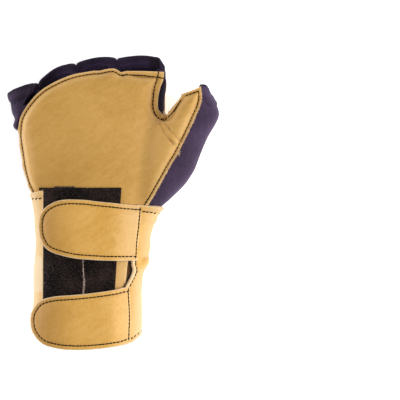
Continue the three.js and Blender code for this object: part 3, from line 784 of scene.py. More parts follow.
def strands(name, lines, radius, sides=6):
    """Round threads along many short lines, as one mesh. Radius is one for each point of a line."""
    count, steps = lines.shape[:2]
    way = np.gradient(lines, axis=1)
    way /= np.maximum(np.linalg.norm(way, axis=2), 1e-9)[:, :, None]
    least = np.abs(way.mean(1)).argmin(1)
    one = np.cross(way, np.eye(3)[least][:, None])
    one /= np.linalg.norm(one, axis=2)[:, :, None]
    two = np.cross(way, one)
    turn = np.arange(sides) * 2 * math.pi / sides
    round_ = one[:, :, None] * np.cos(turn)[:, None] + two[:, :, None] * np.sin(turn)[:, None]
    reach = np.broadcast_to(radius, (count, steps))[:, :, None, None]
    points = (lines[:, :, None] + round_ * reach).reshape(-1, 3)
    index = np.arange(count * steps * sides).reshape(count, steps, sides)
    ring, after = index[:, :-1], index[:, 1:]
    skin = np.stack([ring, np.roll(ring, -1, 2), np.roll(after, -1, 2), after], -1)
    caps = []
    for end, order in ((index[:, 0], 1), (index[:, -1], -1)):
        for i in range(0, sides - 2, 2):
            caps.append(end[:, [0, i + 3, i + 2, i + 1]][:, ::order])
    points[:, 2] = np.maximum(points[:, 2], 0)
    return solid(name, points, np.vstack([skin.reshape(-1, 4), *caps]))


def paced(line, pitch):
    """Points at even steps along a plan line, and its direction there."""
    line = np.array(line, float)
    length = np.append(0, np.cumsum(np.linalg.norm(np.diff(line, axis=0), axis=1)))
    at = np.arange(pitch / 2, length[-1], pitch)
    spots = np.stack([np.interp(at, length, column) for column in line.T], 1)
    ends = np.stack([np.interp([at - 0.2, at + 0.2], length, column) for column in line.T], 2)
    way = ends[1] - ends[0]
    return spots, way / np.maximum(np.linalg.norm(way, axis=1), 1e-9)[:, None]


def inset(edge, line, depth):
    """A line moved inwards from an outline that it is a part of."""
    way = np.gradient(line, axis=0)
    side = np.stack([-way[:, 1], way[:, 0]], 1) / np.linalg.norm(way, axis=1)[:, None]
    if inside(edge, *(line + 0.5 * side).T).mean() < 0:
        side = -side
    depth = np.broadcast_to(depth, len(line))
    moved = line + side * depth[:, None]
    return moved[inside(edge, *moved.T) > 0.85 * depth]


def stitches(name, lines, high, above=True, seed=1, thread=THREAD):
    """Stitches along plan lines, laid on a sheet's face and sunk at their ends."""
    chance = np.random.default_rng(seed)
    arcs = []
    for line in lines:
        spots, way = paced(line, STITCH)
        face, normal = face_at(spots[:, 0], spots[:, 1], high, above)
        on_face = np.abs(form(face) - high(face)) < 0.3  # a spot beside the form finds no face
        face, normal, way = face[on_face], normal[on_face], way[on_face]
        way = np.column_stack([way, np.zeros(len(way))])
        way -= (way * normal).sum(1)[:, None] * normal
        way /= np.linalg.norm(way, axis=1)[:, None]
        way += np.cross(normal, way) * chance.normal(0, 0.06, len(way))[:, None]
        rise = STITCH_RISE + chance.normal(0, 0.03, (len(way), 1))
        arcs.append(
            face[:, None] + way[:, None] * STITCH_CHORDS[:, None] + normal[:, None] * rise[:, :, None]
        )
    return strands(name, np.concatenate(arcs), thread * STITCH_GIRTH)


def polyester_thread(name, base, deep):
    """Bonded polyester sewing thread, twisted from three plies: dark, with a faint dry sheen."""
    material, tree, place = blank(name)
    # The plies' bands, about a millimetre apart along the thread
    twist = {"Vector": place, "Scale": per_mm(4), "Distortion": 2.0}
    ply = add(tree, "TexWave", twist, bands_direction="DIAGONAL")
    fuzz = add(tree, "TexNoise", {"Vector": place, "Scale": per_mm(0.5)})
    shade = add(tree, "Math", {0: ply.outputs[1], 1: fuzz.outputs[0]}, operation="MULTIPLY")
    colour = add(tree, "Mix", {0: shade.outputs[0], 6: linear(deep), 7: linear(base)}, data_type="RGBA")
    bump = add(tree, "Bump", {"Height": ply.outputs[1], "Strength": 0.4, "Distance": 0.0001})
    shader = add(
        tree,
        "BsdfPrincipled",
        {
            "Base Color": colour.outputs[2],
            "Roughness": 0.85,
            "Specular IOR Level": 0.25,
            "Normal": bump.outputs[0],
        },
    )
    add(tree, "OutputMaterial", {"Surface": shader.outputs[0]})
    return material


brown_thread = polyester_thread("dark_brown_polyester_thread", "#1b0f08", "#080402")


def palm_face(p):
    return palm_height(p) + palm_relief(p)


outer_line = curve(on_hand(PALM_OUTER_SIDE), 150)[:-18]
seam_line = curve(on_hand(PALM_THUMB_SEAM), 60)
thumb_end_line = curve(on_hand(PALM_THUMB_HEM), 12)
palm_rows = [
    inset(palm_edge, outer_line, palm_lip(*outer_line.T))[:-1],
    top_row_end,
    notch_row,
    notch_row_end,
    inset(palm_edge, seam_line, palm_lip(*seam_line.T)),
    inset(palm_edge, thumb_end_line, 2.2),
]
palm_stitches = stitches("palm_stitches", palm_rows, palm_face)
dress(palm_stitches, brown_thread)
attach(palm_stitches, "root")

# Knitted back
# A dark purple stretch knit that makes the whole back, wraps round both sides under the palm
# leather and covers the outer side of the thumb.
HEM_START, HEM_END = (-0.56, 0.697), (0.52, 0.88)
LAP = 4
CUFF_TUCK = 9
hem_points = np.vstack(
    [on_hand([HEM_START]), [(x, y) for _, x, y, _, _ in notches], on_hand([HEM_END])]
)


def hem_arc(i, steps=16):
    a, b = hem_points[i], hem_points[i + 1]
    out = np.array([a[1] - b[1], b[0] - a[0]])
    out /= np.linalg.norm(out)
    t = np.linspace(0, 1, steps + 1)
    stand = notches[i][3] * HAND_LENGTH * np.sin(math.pi * t).clip(0) ** 0.6
    return a + t[:, None] * (b - a) + stand[:, None] * out


hem_line = np.vstack([hem_arc(i)[:-1] for i in range(4)] + [hem_points[-2:]])
thumb_hem = on_hand([*PALM_THUMB_HEM, (0.735, 0.785), (0.775, 0.72)])
thumb_side = on_hand([(0.53, 0.6)])[0][0]
FAR = 400
hand_end = np.vstack(
    [
        [(-FAR, hem_line[0][1])],
        hem_line,
        [(thumb_side, CROTCH[1]), (thumb_side, -FAR), (-FAR, -FAR)],
    ]
)
thumb_end = np.vstack(
    [
        [(CROTCH[0], -FAR), (CROTCH[0], thumb_hem[0][1])],
        thumb_hem,
        [(FAR, thumb_hem[-1][1]), (FAR, -FAR)],
    ]
)


def below_hems(x, y):
    return np.maximum(inside(hand_end, x, y), inside(thumb_end, x, y))


palm_open = np.vstack(
    [
        on_hand([(-0.347, 1.2), (-0.352, 0.84), (-0.366, 0.79), (-0.39, 0.725), (-0.424, 0.65)]),
        curve(on_hand(PALM_OUTER_SIDE[4:]), 24)[1:-1],
        on_hand([(0.47, 0.9), (0.48, 1.2)]),
    ]
)
SIDE_FOLD = np.array([-52.5, 148.8, 18])  # a small fold under the little finger


def knit_region(p):
    x, y, z = p.T
    lap = np.minimum(LAP - inside(palm_edge, x, y), -inside(palm_open, x, y))
    side = np.maximum(seam_level(x, y) - z, lap)
    return np.minimum(np.minimum(below_hems(x, y), y - CUFF_LENGTH + CUFF_TUCK), side)


def knit_relief(p):
    x, y, z = p.T
    fold = 3.0 * np.exp(-(((p - SIDE_FOLD) / [5, 4.0, 12]) ** 2).sum(1))
    fold -= 0.8 * np.exp(-(((p - SIDE_FOLD - [0, 6, 0]) / [5, 2.5, 12]) ** 2).sum(1))
    slack = ripple(p * [1, 0.4, 1], 16, 11) * smooth(y, 104, 130)
    # It stands a little fuller under the little finger, and beside the top of the index finger
    full = 1.7 * bell(y - 157, 9) * smooth(-x, 44, 50)
    full += 1.4 * bell(y - 178, 8) * smooth(x, 42, 48) * (1 - smooth(x, 56, 60))
    full *= smooth(-inside(palm_edge, x, y), 0, 1.5)
    return fold + full + 0.25 * slack


def knit_tone(p):
    """Painted shade, darker on the back, which lies towards the floor, at the little finger's
    opening and down the index finger's side."""
    x, y, z = p.T
    little = smooth(x, -55, -45) * smooth(y, 152, 166) * (1 - smooth(x, -30, -20))
    back = 1 - smooth(z, 4, 13)
    index = smooth(x, 38, 44) * smooth(y, CROTCH[1] - 4, CROTCH[1] + 2) * (1 - smooth(x, 55, 58))
    return -0.65 * little - 0.85 * index - 0.35 * back * (1 - smooth(y, 168, 182))


WAVE_BANDS = 3.18  # how many bands a wave texture draws in the length of its scale


def stretch_knit(name, base, deep, bright, nap_light):
    """Polyamide and elastane, warp knitted and brushed: matt, with fine ribs of loops and a nap that
    catches light along the sides."""
    material, tree, place = blank(name)
    cloud = add(tree, "TexNoise", {"Vector": place, "Scale": per_mm(22), "Detail": 3.0})
    nap = add(tree, "TexNoise", {"Vector": place, "Scale": per_mm(1.5), "Detail": 3.0})
    # Loops are 0.4 mm on the cloth, drawn at 0.8 mm so that they show
    ribs = {"Vector": place, "Scale": per_mm(0.8) / WAVE_BANDS}
    flat_wale = add(tree, "TexWave", ribs, bands_direction="X")
    side_wale = add(tree, "TexWave", ribs, bands_direction="Z")
    facing = add(tree, "SeparateXYZ", {0: add(tree, "NewGeometry", {}).outputs["Normal"]})
    sideways = add(tree, "Math", {0: facing.outputs[0]}, operation="ABSOLUTE")
    sideways = add(tree, "MapRange", {0: sideways.outputs[0], 1: 0.6, 2: 0.8})
    wale = add(tree, "Mix", {0: sideways.outputs[0], 2: flat_wale.outputs[1], 3: side_wale.outputs[1]})
    course = add(tree, "TexWave", {"Vector": place, "Scale": per_mm(0.7) / WAVE_BANDS}, bands_direction="Y")
    loops = add(tree, "Math", {0: wale.outputs[0], 1: course.outputs[1]}, operation="MULTIPLY")
    mixed = add(tree, "Math", {0: loops.outputs[0], 1: nap.outputs[0]}, operation="MULTIPLY")
    tone = add(tree, "Attribute", {}, attribute_name="tone").outputs["Fac"]
    colour = linear(deep)
    # Layers of colour, as on the leather
    for source, start, end, most, shade in [
        (cloud.outputs[0], 0.35, 0.65, 1.0, base),
        (mixed.outputs[0], 0.05, 0.5, 0.85, bright),
        # The tone's paler marks are painted highlights and its darker ones, down to near black, painted
        # shade
        (tone, 0.0, 1.0, 0.9, bright),
        (tone, 0.0, -1.0, 0.95, "#120a13"),
    ]:
        share = add(tree, "MapRange", {0: source, 1: start, 2: end, 4: most}).outputs[0]
        layer = {0: share, 6: colour, 7: linear(shade)}
        colour = add(tree, "Mix", layer, data_type="RGBA").outputs[2]
    bump = add(tree, "Bump", {"Height": mixed.outputs[0], "Strength": 0.7, "Distance": 0.0004})
    shader = add(
        tree,
        "BsdfPrincipled",
        {
            "Base Color": colour,
            "Roughness": 0.85,
            "Specular IOR Level": 0.15,
            "Normal": bump.outputs[0],
            "Sheen Weight": nap_light,
            "Sheen Roughness": 0.45,
            "Sheen Tint": linear("#b9a6cc"),
        },
    )
    add(tree, "OutputMaterial", {"Surface": shader.outputs[0]})
    return material


purple_knit = stretch_knit("purple_stretch_knit_brushed", "#44354c", "#312536", "#605170", 0.3)
# The reverse is much darker than the face: partly the knit's duller reverse side, mostly painted shade
# inside the openings and between the fingers
knit_reverse_and_shade = stretch_knit("purple_stretch_knit_reverse", "#281c2e", "#17101a", "#493a5c", 0.05)
knit = wall(
    "knit_back",
    flat(0),
    flat(-1),
    knit_region,
    [(-64, 88, -1), (94, 204, 46)],
    0.9,
    relief=knit_relief,
    tone=knit_tone,
)
dress(knit, purple_knit, knit_reverse_and_shade)
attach(knit, "root")
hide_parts("back_panel")

# Hems
# The knit turned in at each finger and at the thumb and sewn down, so that it ends in a soft
# double edge with a row of dark thread.
HEM_WIDTH = 6.6
HEM_OUT, HEM_IN = 1.3, -2.1  # over the form, outside and inside the knit
HEM_GAP = 0.3  # on each side of a notch
hem_spans = {
    "little_finger_hem": (-60, hem_points[1][0] - HEM_GAP),
    "ring_finger_hem": (hem_points[1][0] + HEM_GAP, hem_points[2][0] - HEM_GAP),
    "middle_finger_hem": (hem_points[2][0] + HEM_GAP, hem_points[3][0] - HEM_GAP),
    "index_finger_hem": (hem_points[3][0] + HEM_GAP, CROTCH[0] - HEM_GAP),
}
HEM_ROW = HEM_WIDTH - 1.2


def hem_region(name):
    left, right = hem_spans[name]

    def region(p):
        x, y, z = p.T
        depth = inside(hand_end, x, y)
        side = np.maximum(seam_level(x, y) - 0.3 - z, -inside(palm_open, x, y))
        side = np.minimum(side, LAP - inside(palm_edge, x, y) + FAR * (z < seam_level(x, y)))
        return np.minimum.reduce([depth, HEM_WIDTH - depth, x - left, right - x, side])

    return region


def hem_relief(p):
    x, y, _ = p.T
    depth = below_hems(x, y)
    row = bell(depth - HEM_ROW, 0.6)
    return 0.15 * ripple(p, 7, 17) - 0.45 * row - 1.1 * smooth(depth, HEM_ROW, HEM_WIDTH)


def hem_tone(p):
    """Painted shade makes it nearly black along the turned edge, as well as the knit's painted shade,
    and a painted highlight makes it purple along the middle of the band.
    """
    x, y, _ = p.T
    depth = below_hems(x, y)
    edge = bell(depth, 1.5)
    middle = bell(depth - 4.2, 1.6) * smooth(x, -46, -34)
    return knit_tone(p) - 0.25 * edge + 0.4 * middle


for name, (left, right) in hem_spans.items():
    hem = wall(
        name.replace("finger_hem", "knit_hem"),
        flat(HEM_OUT),
        flat(HEM_IN),
        hem_region(name),
        [(left - 3, 160, -2), (right + 3, 204, 36)],
        0.7,
        roll=1.0,
        relief=hem_relief,
        tone=hem_tone,
    )
    dress(hem, purple_knit, knit_reverse_and_shade)
    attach(hem, "root")
    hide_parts(name)


def thumb_hem_region(p):
    x, y, _ = p.T
    depth = inside(thumb_end, x, y)
    return np.minimum.reduce([depth, HEM_WIDTH - depth, x - thumb_hem[2][0] - 0.6])


thumb_band = wall(
    "thumb_knit_hem",
    flat(HEM_OUT),
    flat(HEM_IN),
    thumb_hem_region,
    [(70, 160, 2), (96, 184, 46)],
    0.7,
    roll=1.0,
    relief=hem_relief,
)
dress(thumb_band, purple_knit, knit_reverse_and_shade)
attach(thumb_band, "root")
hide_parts("thumb_hem")

hem_rows = [inset(hand_end, hem_arc(i, 40), HEM_ROW) for i in range(4)]
black_thread = polyester_thread("black_polyester_thread", "#2a2127", "#120d10")
# A second row is sewn through the knit below the band. On the palm side both show round the
# outside of the little finger.
side_row = inset(hand_end, hem_arc(0, 40), HEM_ROW)
side_row = side_row[(side_row[:, 0] > -57) & (side_row[:, 0] < -42)]
lower = [0, 2.1]


def on_band(p):
    return HEM_OUT + hem_relief(p)


for name, rows, high, above in [
    ("hem_stitches", [row[row[:, 0] > -53.5] for row in hem_rows], on_band, False),
    ("hem_lower_stitches", [row[row[:, 0] > -51] - lower for row in hem_rows], knit_relief, False),
    ("little_hem_stitches", [side_row], on_band, True),
    ("little_hem_lower_stitches", [side_row[:22] - lower], knit_relief, True),
]:
    piece = stitches(name, rows, high, above=above, thread=FINE_THREAD)
    dress(piece, black_thread)
    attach(piece, "root")

# Webs between the fingers
# A narrow wall of the same knit at each notch, which joins the back to the palm leather. It flares
# softly into both and its front edge is folded.
WEB_DEPTH = 13
WEB_HALF = 0.6
WEB_ROWS, WEB_STEPS = 12, 13  # along its depth, and from the back up to the leather
WEB_SIDE = WEB_ROWS * WEB_STEPS  # points on one side
palm_top = curve(on_hand(PALM_OUTER_SIDE), 75)[:-1]
for i, name in enumerate(["little_ring_web", "ring_middle_web", "middle_index_web"]):
    across, tip = hem_points[i + 1]
    brim = np.interp(across, *palm_top[np.argsort(palm_top[:, 0])].T) - 1
    rows = np.linspace(0, 1, WEB_ROWS)
    floor_y = tip - 1.5 - WEB_DEPTH * rows
    roof_y = brim - 1.5 - (WEB_DEPTH - 3) * rows
    low, _ = face_at(np.full(WEB_ROWS, across), floor_y, flat(-1), False)
    high, _ = face_at(np.full(WEB_ROWS, across), roof_y, flat(-0.6), True)
    up = np.linspace(0, 1, WEB_STEPS)
    spine = low[:, None] + (high - low)[:, None] * up[None, :, None]
    spine[:, :, 1] -= 2.5 * np.sin(math.pi * up)[None] * (1 - rows)[:, None]
    half = WEB_HALF + 2.6 * np.abs(2 * up - 1) ** 5
    nose = np.sqrt(np.clip(1 - (1 - np.minimum(rows * 6, 1)) ** 2, 0.02, 1))
    spread = half[None] * nose[:, None]
    left, right = spine.copy(), spine.copy()
    left[:, :, 0] -= spread
    right[:, :, 0] += spread
    points = np.concatenate([left.reshape(-1, 3), right.reshape(-1, 3)])
    index = np.arange(WEB_SIDE).reshape(WEB_ROWS, WEB_STEPS)
    squares = np.stack([index[:-1, :-1], index[:-1, 1:], index[1:, 1:], index[1:, :-1]], -1)
    squares = squares.reshape(-1, 4)
    edges = border(squares)
    rim = np.hstack([edges[:, ::-1], edges + WEB_SIDE])
    faces = np.vstack([squares, squares[:, ::-1] + WEB_SIDE, rim])
    web = solid(name.replace("web", "knit_web"), points, faces)
    # Painted shade: the whole web takes the dark reverse finish
    dress(web, knit_reverse_and_shade)
    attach(web, "root")
    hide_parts(name)

# Thumb patch
# A second piece of tan leather in the crotch of the thumb, sewn over the knit on the back and
# joined to the palm leather round the crotch. It wrinkles where the thumb bends.
PATCH_EDGE = [
    (0.38, 0.9), (0.345, 0.8), (0.34, 0.7), (0.332, 0.55), (0.337, 0.38), (0.4, 0.262),
    (0.475, 0.22), (0.5415, 0.239), (0.617, 0.303), (0.704, 0.381), (0.735, 0.431), (0.765, 0.488),
    (0.766, 0.575), (0.72, 0.65), (0.66, 0.698), (0.61, 0.735),
]
PATCH_CLOSE = [(0.586, 0.737), (0.5, 0.62), (0.5, 0.9)]
PATCH_LIP = 2.6
patch_line = curve(on_hand(PATCH_EDGE), 88)
patch_edge = np.vstack([patch_line, on_hand(PATCH_CLOSE)])
# Wrinkles that fan out from the crotch: direction in degrees, then half width in degrees and depth
FAN = [
    (-14, 2.0, 0.5),
    (-22, 2.6, 0.9),
    (-31, 2.4, 1.1),
    (-39, 2.2, 1.0),
    (-47, 2.0, 1.2),
    (-54, 2.4, 1.0),
    (-63, 2.2, 0.9),
    (-72, 2.6, 0.7),
    (-82, 2.4, 0.6),
    (-94, 2.8, 0.5),
    (-108, 3.0, 0.4),
]
FAN_CENTRE = CROTCH + [-1.5, 1.0]


def patch_region(p):
    x, y, z = p.T
    # Beside the index finger a strip of the knit shows between the two leathers
    strip = 8 * smooth(y, CROTCH[1] - 1, CROTCH[1] + 5) * (1 - smooth(x, 54, 57))
    strip *= 1 - smooth(y, 168, 178)
    side = seam_level(x, y) - 0.3 - strip - z
    return np.minimum.reduce([inside(patch_edge, x, y), side, below_hems(x, y)])


def patch_relief(p):
    x, y, _ = p.T
    reach = np.hypot(x - FAN_CENTRE[0], y - FAN_CENTRE[1])
    turn = np.degrees(np.arctan2(y - FAN_CENTRE[1], x - FAN_CENTRE[0]))
    fan = np.zeros(len(p))
    for middle, wide, deep in FAN:
        bent = turn - middle - 2.5 * np.sin(reach / 6 + middle)
        fan += deep * bell(bent, wide)
    depth = inside(patch_edge, x, y)
    fan *= smooth(reach, 3, 12) * (1 - smooth(reach, 24, 42)) * smooth(depth, 2.5, 7)
    row = DENT * bell(depth - PATCH_LIP, DENT)
    pucker = bell(depth - PATCH_LIP - 2.5, 2.5) * ripple(p, 5, 23)
    swell = 0.7 * smooth(depth, PATCH_LIP, PATCH_LIP + 4)
    lip = bell(depth, 1.8) * ripple(p, 7, 29)
    return swell + 0.25 * pucker + 0.25 * lip - 0.8 * fan - row


cuff_grain = grain_leather(
    "light_tan_grain_leather_waxed", "#d8a554", "#cd9a45", "#deb164", "#784c10", "#dfc8a4"
)
cuff_suede = flesh_side("light_tan_leather_flesh_side", "#e6c390", "#c29862")
patch = wall(
    "thumb_patch_leather",
    flat(GAP + LEATHER),
    flat(GAP),
    patch_region,
    [(32, 118, -2), (92, 192, 30)],
    0.7,
    relief=patch_relief,
    tone=lambda p: np.full(len(p), 0.4),
)
dress(patch, cuff_grain, cuff_suede)
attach(patch, "root")
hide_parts("thumb_patch")

patch_row = inset(patch_edge, patch_line, PATCH_LIP)
patch_stitches = stitches(
    "patch_stitches",
    [patch_row],
    lambda p: GAP + LEATHER + patch_relief(p),
    above=False,
    seed=2,
)
dress(patch_stitches, brown_thread)
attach(patch_stitches, "root")

# Cuff
# A gauntlet of thicker tan leather round the wrist, open on the palm side under the straps. Its
# edges are turned and sewn, and between the straps its edge rolls back into a pale lip.
CUFF_MARGIN = -0.456 * CUFF_WIDTH
CUFF_TOP = on_cuff(
    [(-0.8, 0.975), (-0.5, 0.985), (0, 1.0), (0.4, 0.98), (0.62, 0.935), (0.74, 0.92), (1.0, 0.88)]
)
CUFF_PALM_TOP = on_cuff(
    [
        (-0.8, 0.975), (-0.58, 1.026), (-0.48, 1.042), (-0.4, 1.045), (0.3, 0.957), (0.49, 0.947),
        (0.62, 0.936), (0.74, 0.92), (1.0, 0.89),
    ]
)
CUFF_MOUTH = on_cuff(
    [
        (-0.8, 0.2), (-0.58, 0.1), (-0.45, 0.03), (-0.2, 0), (0.15, 0), (0.349, 0.015),
        (0.42, 0.032), (0.5, 0.072), (0.56, 0.115), (0.8, 0.32),
    ]
)
# Where the seam's stitches run, from the top of the cuff to its mouth
SEAM_ROW = curve(
    [
        (35.0, 106), (34.6, 96), (33.3, 82.3), (32.1, 72), (31.5, 62), (31.2, 56), (32.0, 51.8),
        (30.5, 47.3), (28.0, 42.5), (26.4, 38.5), (26.5, 33), (27.1, 21), (26.5, 2.7), (26.4, -6),
    ],
    130,
)
CUFF_LOW, CUFF_HIGH = 1.9, 3.2
CUFF_LIP = 2.2
SLIT_LIP = 2.6
SLIT = (37.5, 60.5)  # from where to where it is open between the straps
SLIT_FOLD = (37, 57)  # the middle of the fold beside it
MOUTH_ROW = 2.8  # how far the stitches run from the cuff's mouth
PALM_MORE = 1.6  # how much further from the top they run on the palm side


def seam_row(y):
    return np.interp(-y, -SEAM_ROW[:, 1], SEAM_ROW[:, 0])


def slit_fold(x, y, wide):
    """One on the fold that runs outwards from the slit, and none away from it."""
    out = x - SLIT_FOLD[0]
    return np.exp(-((out / wide) ** 2) - (((y - SLIT_FOLD[1] - 0.5 * out) / 3.0) ** 2))


def in_slit(y):
    return smooth(y, SLIT[0] - 2, SLIT[0] + 2) * (1 - smooth(y, SLIT[1] - 2, SLIT[1] + 2))


def cuff_top(p):
    x, y, z = p.T
    above = smooth(z, seam_level(x, y) - 6, seam_level(x, y) + 6)
    top = np.interp(x, *CUFF_TOP.T)
    return top + (np.interp(x, *CUFF_PALM_TOP.T) - top) * above


def cuff_opening(p):
    x, y, z = p.T
    seam = seam_row(y) - SLIT_LIP
    return np.minimum.reduce([x - CUFF_MARGIN, seam - x, z - seam_level(x, y)])


def cuff_region(p):
    x, y, _ = p.T
    mouth = np.interp(x, *CUFF_MOUTH.T)
    return np.minimum.reduce([cuff_top(p) - y, y - mouth, -cuff_opening(p)])


def cuff_relief(p):
    x, y, z = p.T
    top = cuff_top(p) - y
    mouth = y - np.interp(x, *CUFF_MOUTH.T)
    front = z > seam_level(x, y)
    row = bell(top - CUFF_LIP - front * PALM_MORE, 0.7) + bell(mouth - MOUTH_ROW, 0.7)
    # Soft folds where the wrist meets the thumb, and one beside the slit
    side = smooth(x, 12, 34) * smooth(y, 34, 62)
    folds = np.sin((y - 0.35 * x) / 2.1 + 1.4 * np.sin(y / 9)) * side * (1 - smooth(y, 84, 94))
    dent = slit_fold(x, y, 4.5) * smooth(z, seam_level(x, y) - 6, seam_level(x, y) + 2)
    soft = ripple(p * [1, 1, 0.6], 22, 31)
    lip = in_slit(y) * bell(x - seam_row(y) + 1.6, 0.9) * front
    groove = in_slit(y) * bell(x - seam_row(y), 0.6) * front
    flare = 0.9 * smooth(y, 84, 94) * smooth(x, 40, 48)
    return 0.16 * soft + 0.35 * folds + flare - 0.6 * dent - 0.55 * row + 0.9 * lip - 0.7 * groove


def cuff_tone(p):
    """Painted highlights make it paler round both sides, most on the outer side, and painted shade
    makes it a little darker down the middle of the back and browner in the fold beside the slit.
    The rolled lip inside the slit is paler."""
    x, y, z = p.T
    middle, half, _, _ = hand_section(y)
    side = smooth(np.abs(x - middle) / (half + CUFF_HIGH), 0.72, 1.0)
    front = smooth(z, seam_level(x, y) - 8, seam_level(x, y) + 2)
    fold = slit_fold(x, y, 4)
    lip = in_slit(y) * (x < seam_row(y) - 0.3) * front
    pale = np.where(x < 0, 0.76, 0.42 + 0.18 * (1 - smooth(y, 30, 60)))
    wide = smooth(np.abs(x - middle) / (half + CUFF_HIGH), 0.45, 0.95)
    back = 1 - smooth(z, 6, 14)
    side = np.maximum(side, wide * back)
    return side * (0.5 + (pale - 0.5) * front) - 0.16 * (1 - wide) * back - 0.5 * fold * front + 0.6 * lip


cuff = wall(
    "cuff_leather",
    flat(CUFF_HIGH),
    flat(CUFF_LOW),
    cuff_region,
    [(-44, -2, -1), (60, 110, 50)],
    0.85,
    roll=0.5,
    relief=cuff_relief,
    tone=cuff_tone,
)
dress(cuff, cuff_grain, cuff_suede)
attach(cuff, "root")
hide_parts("cuff")

# Hook tapes
# Two black woven hook tapes sewn side by side down the wrist tongue, which the straps close on.
# Rows of stiff nylon hooks stand on them, and lint is caught in the hooks.
HOOK_LOW, HOOK_HIGH = 1.9, 3.1
TAPE_LEAN = 0.062  # the tapes lean a little towards the thumb
TAPE_TOP, TAPE_RIGHT = 107.6, 18.2
TAPE_LEFT_ABOVE = (105.6, -34.3)  # over the margin's edge the outer tape shows in its full width
# Where the two tapes meet, from the mouth to the top
TAPE_GAP = np.array(
    [(0, -5.5), (39.4, -3.5), (44.9, -3.2), (51, -3.8), (58.5, -4.0), (70, -3.6), (108, -1.0)]
)


def tape_x(x, y):
    return x - TAPE_LEAN * (y - 50)


def gap_x(y):
    return np.interp(y, *TAPE_GAP.T)


def hook_ground(name):
    """Woven nylon tape, dyed black: dull, with fine ribs of weft between its rows of hooks."""
    material, tree, place = blank(name)
    # Weft ribs are 0.5 mm apart
    weft = {"Vector": place, "Scale": per_mm(0.5) / WAVE_BANDS}
    rib = add(tree, "TexWave", weft, bands_direction="Y")
    dust = add(tree, "TexNoise", {"Vector": place, "Scale": per_mm(1.2), "Detail": 4.0})
    cloud = add(tree, "TexNoise", {"Vector": place, "Scale": per_mm(12), "Detail": 2.0})
    both = add(tree, "Math", {0: dust.outputs[0], 1: cloud.outputs[0]}, operation="MULTIPLY")
    shade = add(tree, "MapRange", {0: both.outputs[0], 1: 0.2, 2: 0.4})
    colour = add(
        tree, "Mix", {0: shade.outputs[0], 6: linear("#0d0706"), 7: linear("#3c2d28")}, data_type="RGBA"
    )
    height = add(tree, "Math", {0: rib.outputs[1], 1: dust.outputs[0]}, operation="ADD")
    bump = add(tree, "Bump", {"Height": height.outputs[0], "Strength": 0.8, "Distance": 0.0004})
    shader = add(
        tree,
        "BsdfPrincipled",
        {
            "Base Color": colour.outputs[2],
            "Roughness": 0.9,
            "Specular IOR Level": 0.2,
            "Normal": bump.outputs[0],
        },
    )
    add(tree, "OutputMaterial", {"Surface": shader.outputs[0]})
    return material


tape_ground = hook_ground("black_woven_nylon_tape")
for name, side in [("hook_tape_outer", -1), ("hook_tape_inner", 1)]:

    def hook_region(p, side=side):
        x, y, z = p.T
        start = np.where(y > TAPE_LEFT_ABOVE[0], TAPE_LEFT_ABOVE[1], HOOK_TAPE_START)
        opening = 0.05 + 0.2 * smooth(y, 28, 36) * (1 - smooth(y, 64, 72))
        meet = side * (x - gap_x(y)) - opening
        edges = [meet, TAPE_RIGHT - tape_x(x, y), x - start, y - 2, TAPE_TOP - y]
        return np.minimum.reduce([*edges, z - seam_level(x, y)])

    tape = wall(
        name.replace("tape", "strip"),
        flat(HOOK_HIGH),
        flat(HOOK_LOW),
        hook_region,
        [(-37, 0, 12), (26, 111, 50)],
        0.9,
    )
    dress(tape, tape_ground, tape_ground)
    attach(tape, "root")
    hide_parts(name)

# The hooks themselves, drawn coarser and further apart than the real ones so that they show
HOOK_STEP = 1.3
HOOK_WIRE = 0.17
HOOK_CURL = np.array([(0, 0), (0, 0.35), (0.06, 0.62), (0.24, 0.78), (0.45, 0.7), (0.5, 0.46)])
HOOK_ROWS = (34, 106)  # from under the lower strap's edge nearly to the tapes' top
UNDER_STRAP = (64, 91)  # where the upper strap hides the hooks
BELOW_STRAP, ABOVE_STRAP = (36, 62), (93, 105)  # where the tapes show
LINT, FRAY = 900, 150  # fibres, of which the lint keeps those that lie in its clusters


def on_tapes(x, y):
    """Points of the plan that lie on a hook tape, clear of the gap between the two."""
    keep = (tape_x(x, y) < TAPE_RIGHT - 0.5) & (x > HOOK_TAPE_START + 0.5)
    keep &= np.abs(x - gap_x(y)) > 0.7
    return keep & (y < HOOK_ROWS[1]) & ((y < UNDER_STRAP[0]) | (y > UNDER_STRAP[1]))


chance = np.random.default_rng(71)
grid = np.arange(-32, 24, HOOK_STEP), np.arange(*HOOK_ROWS, HOOK_STEP)
x, y = [axis.ravel() for axis in np.meshgrid(*grid)]
x = x + chance.normal(0, 0.2, len(x))
y = y + chance.normal(0, 0.2, len(y))
keep = on_tapes(x, y)
root, normal = face_at(x[keep], y[keep], flat(HOOK_HIGH))
turn = chance.choice([0, math.pi], len(root)) + chance.normal(0, 0.5, len(root))
way = np.stack([np.cos(turn), np.sin(turn), np.zeros(len(root))], 1)
tall = chance.uniform(0.75, 1.15, len(root))[:, None, None]
curls = way[:, None] * HOOK_CURL[:, :1] + normal[:, None] * (HOOK_CURL[:, 1:] - 0.1)
hooks = strands("tape_hooks", root[:, None] + curls * tall, HOOK_WIRE, sides=4)


def nylon(name, base, deep):
    """Nylon monofilament, extruded, cut and dyed black: each hook catches a small grey glint."""
    material, tree, place = blank(name)
    cloud = add(tree, "TexNoise", {"Vector": place, "Scale": per_mm(1.5), "Detail": 2.0})
    shade = add(tree, "MapRange", {0: cloud.outputs[0], 1: 0.4, 2: 0.7})
    colour = add(tree, "Mix", {0: shade.outputs[0], 6: linear(deep), 7: linear(base)}, data_type="RGBA")
    shader = add(
        tree,
        "BsdfPrincipled",
        {"Base Color": colour.outputs[2], "Roughness": 0.5, "IOR": 1.53, "Specular IOR Level": 0.3},
    )
    add(tree, "OutputMaterial", {"Surface": shader.outputs[0]})
    return material


dress(hooks, nylon("black_nylon_monofilament", "#54443f", "#1b1311"))
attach(hooks, "root")


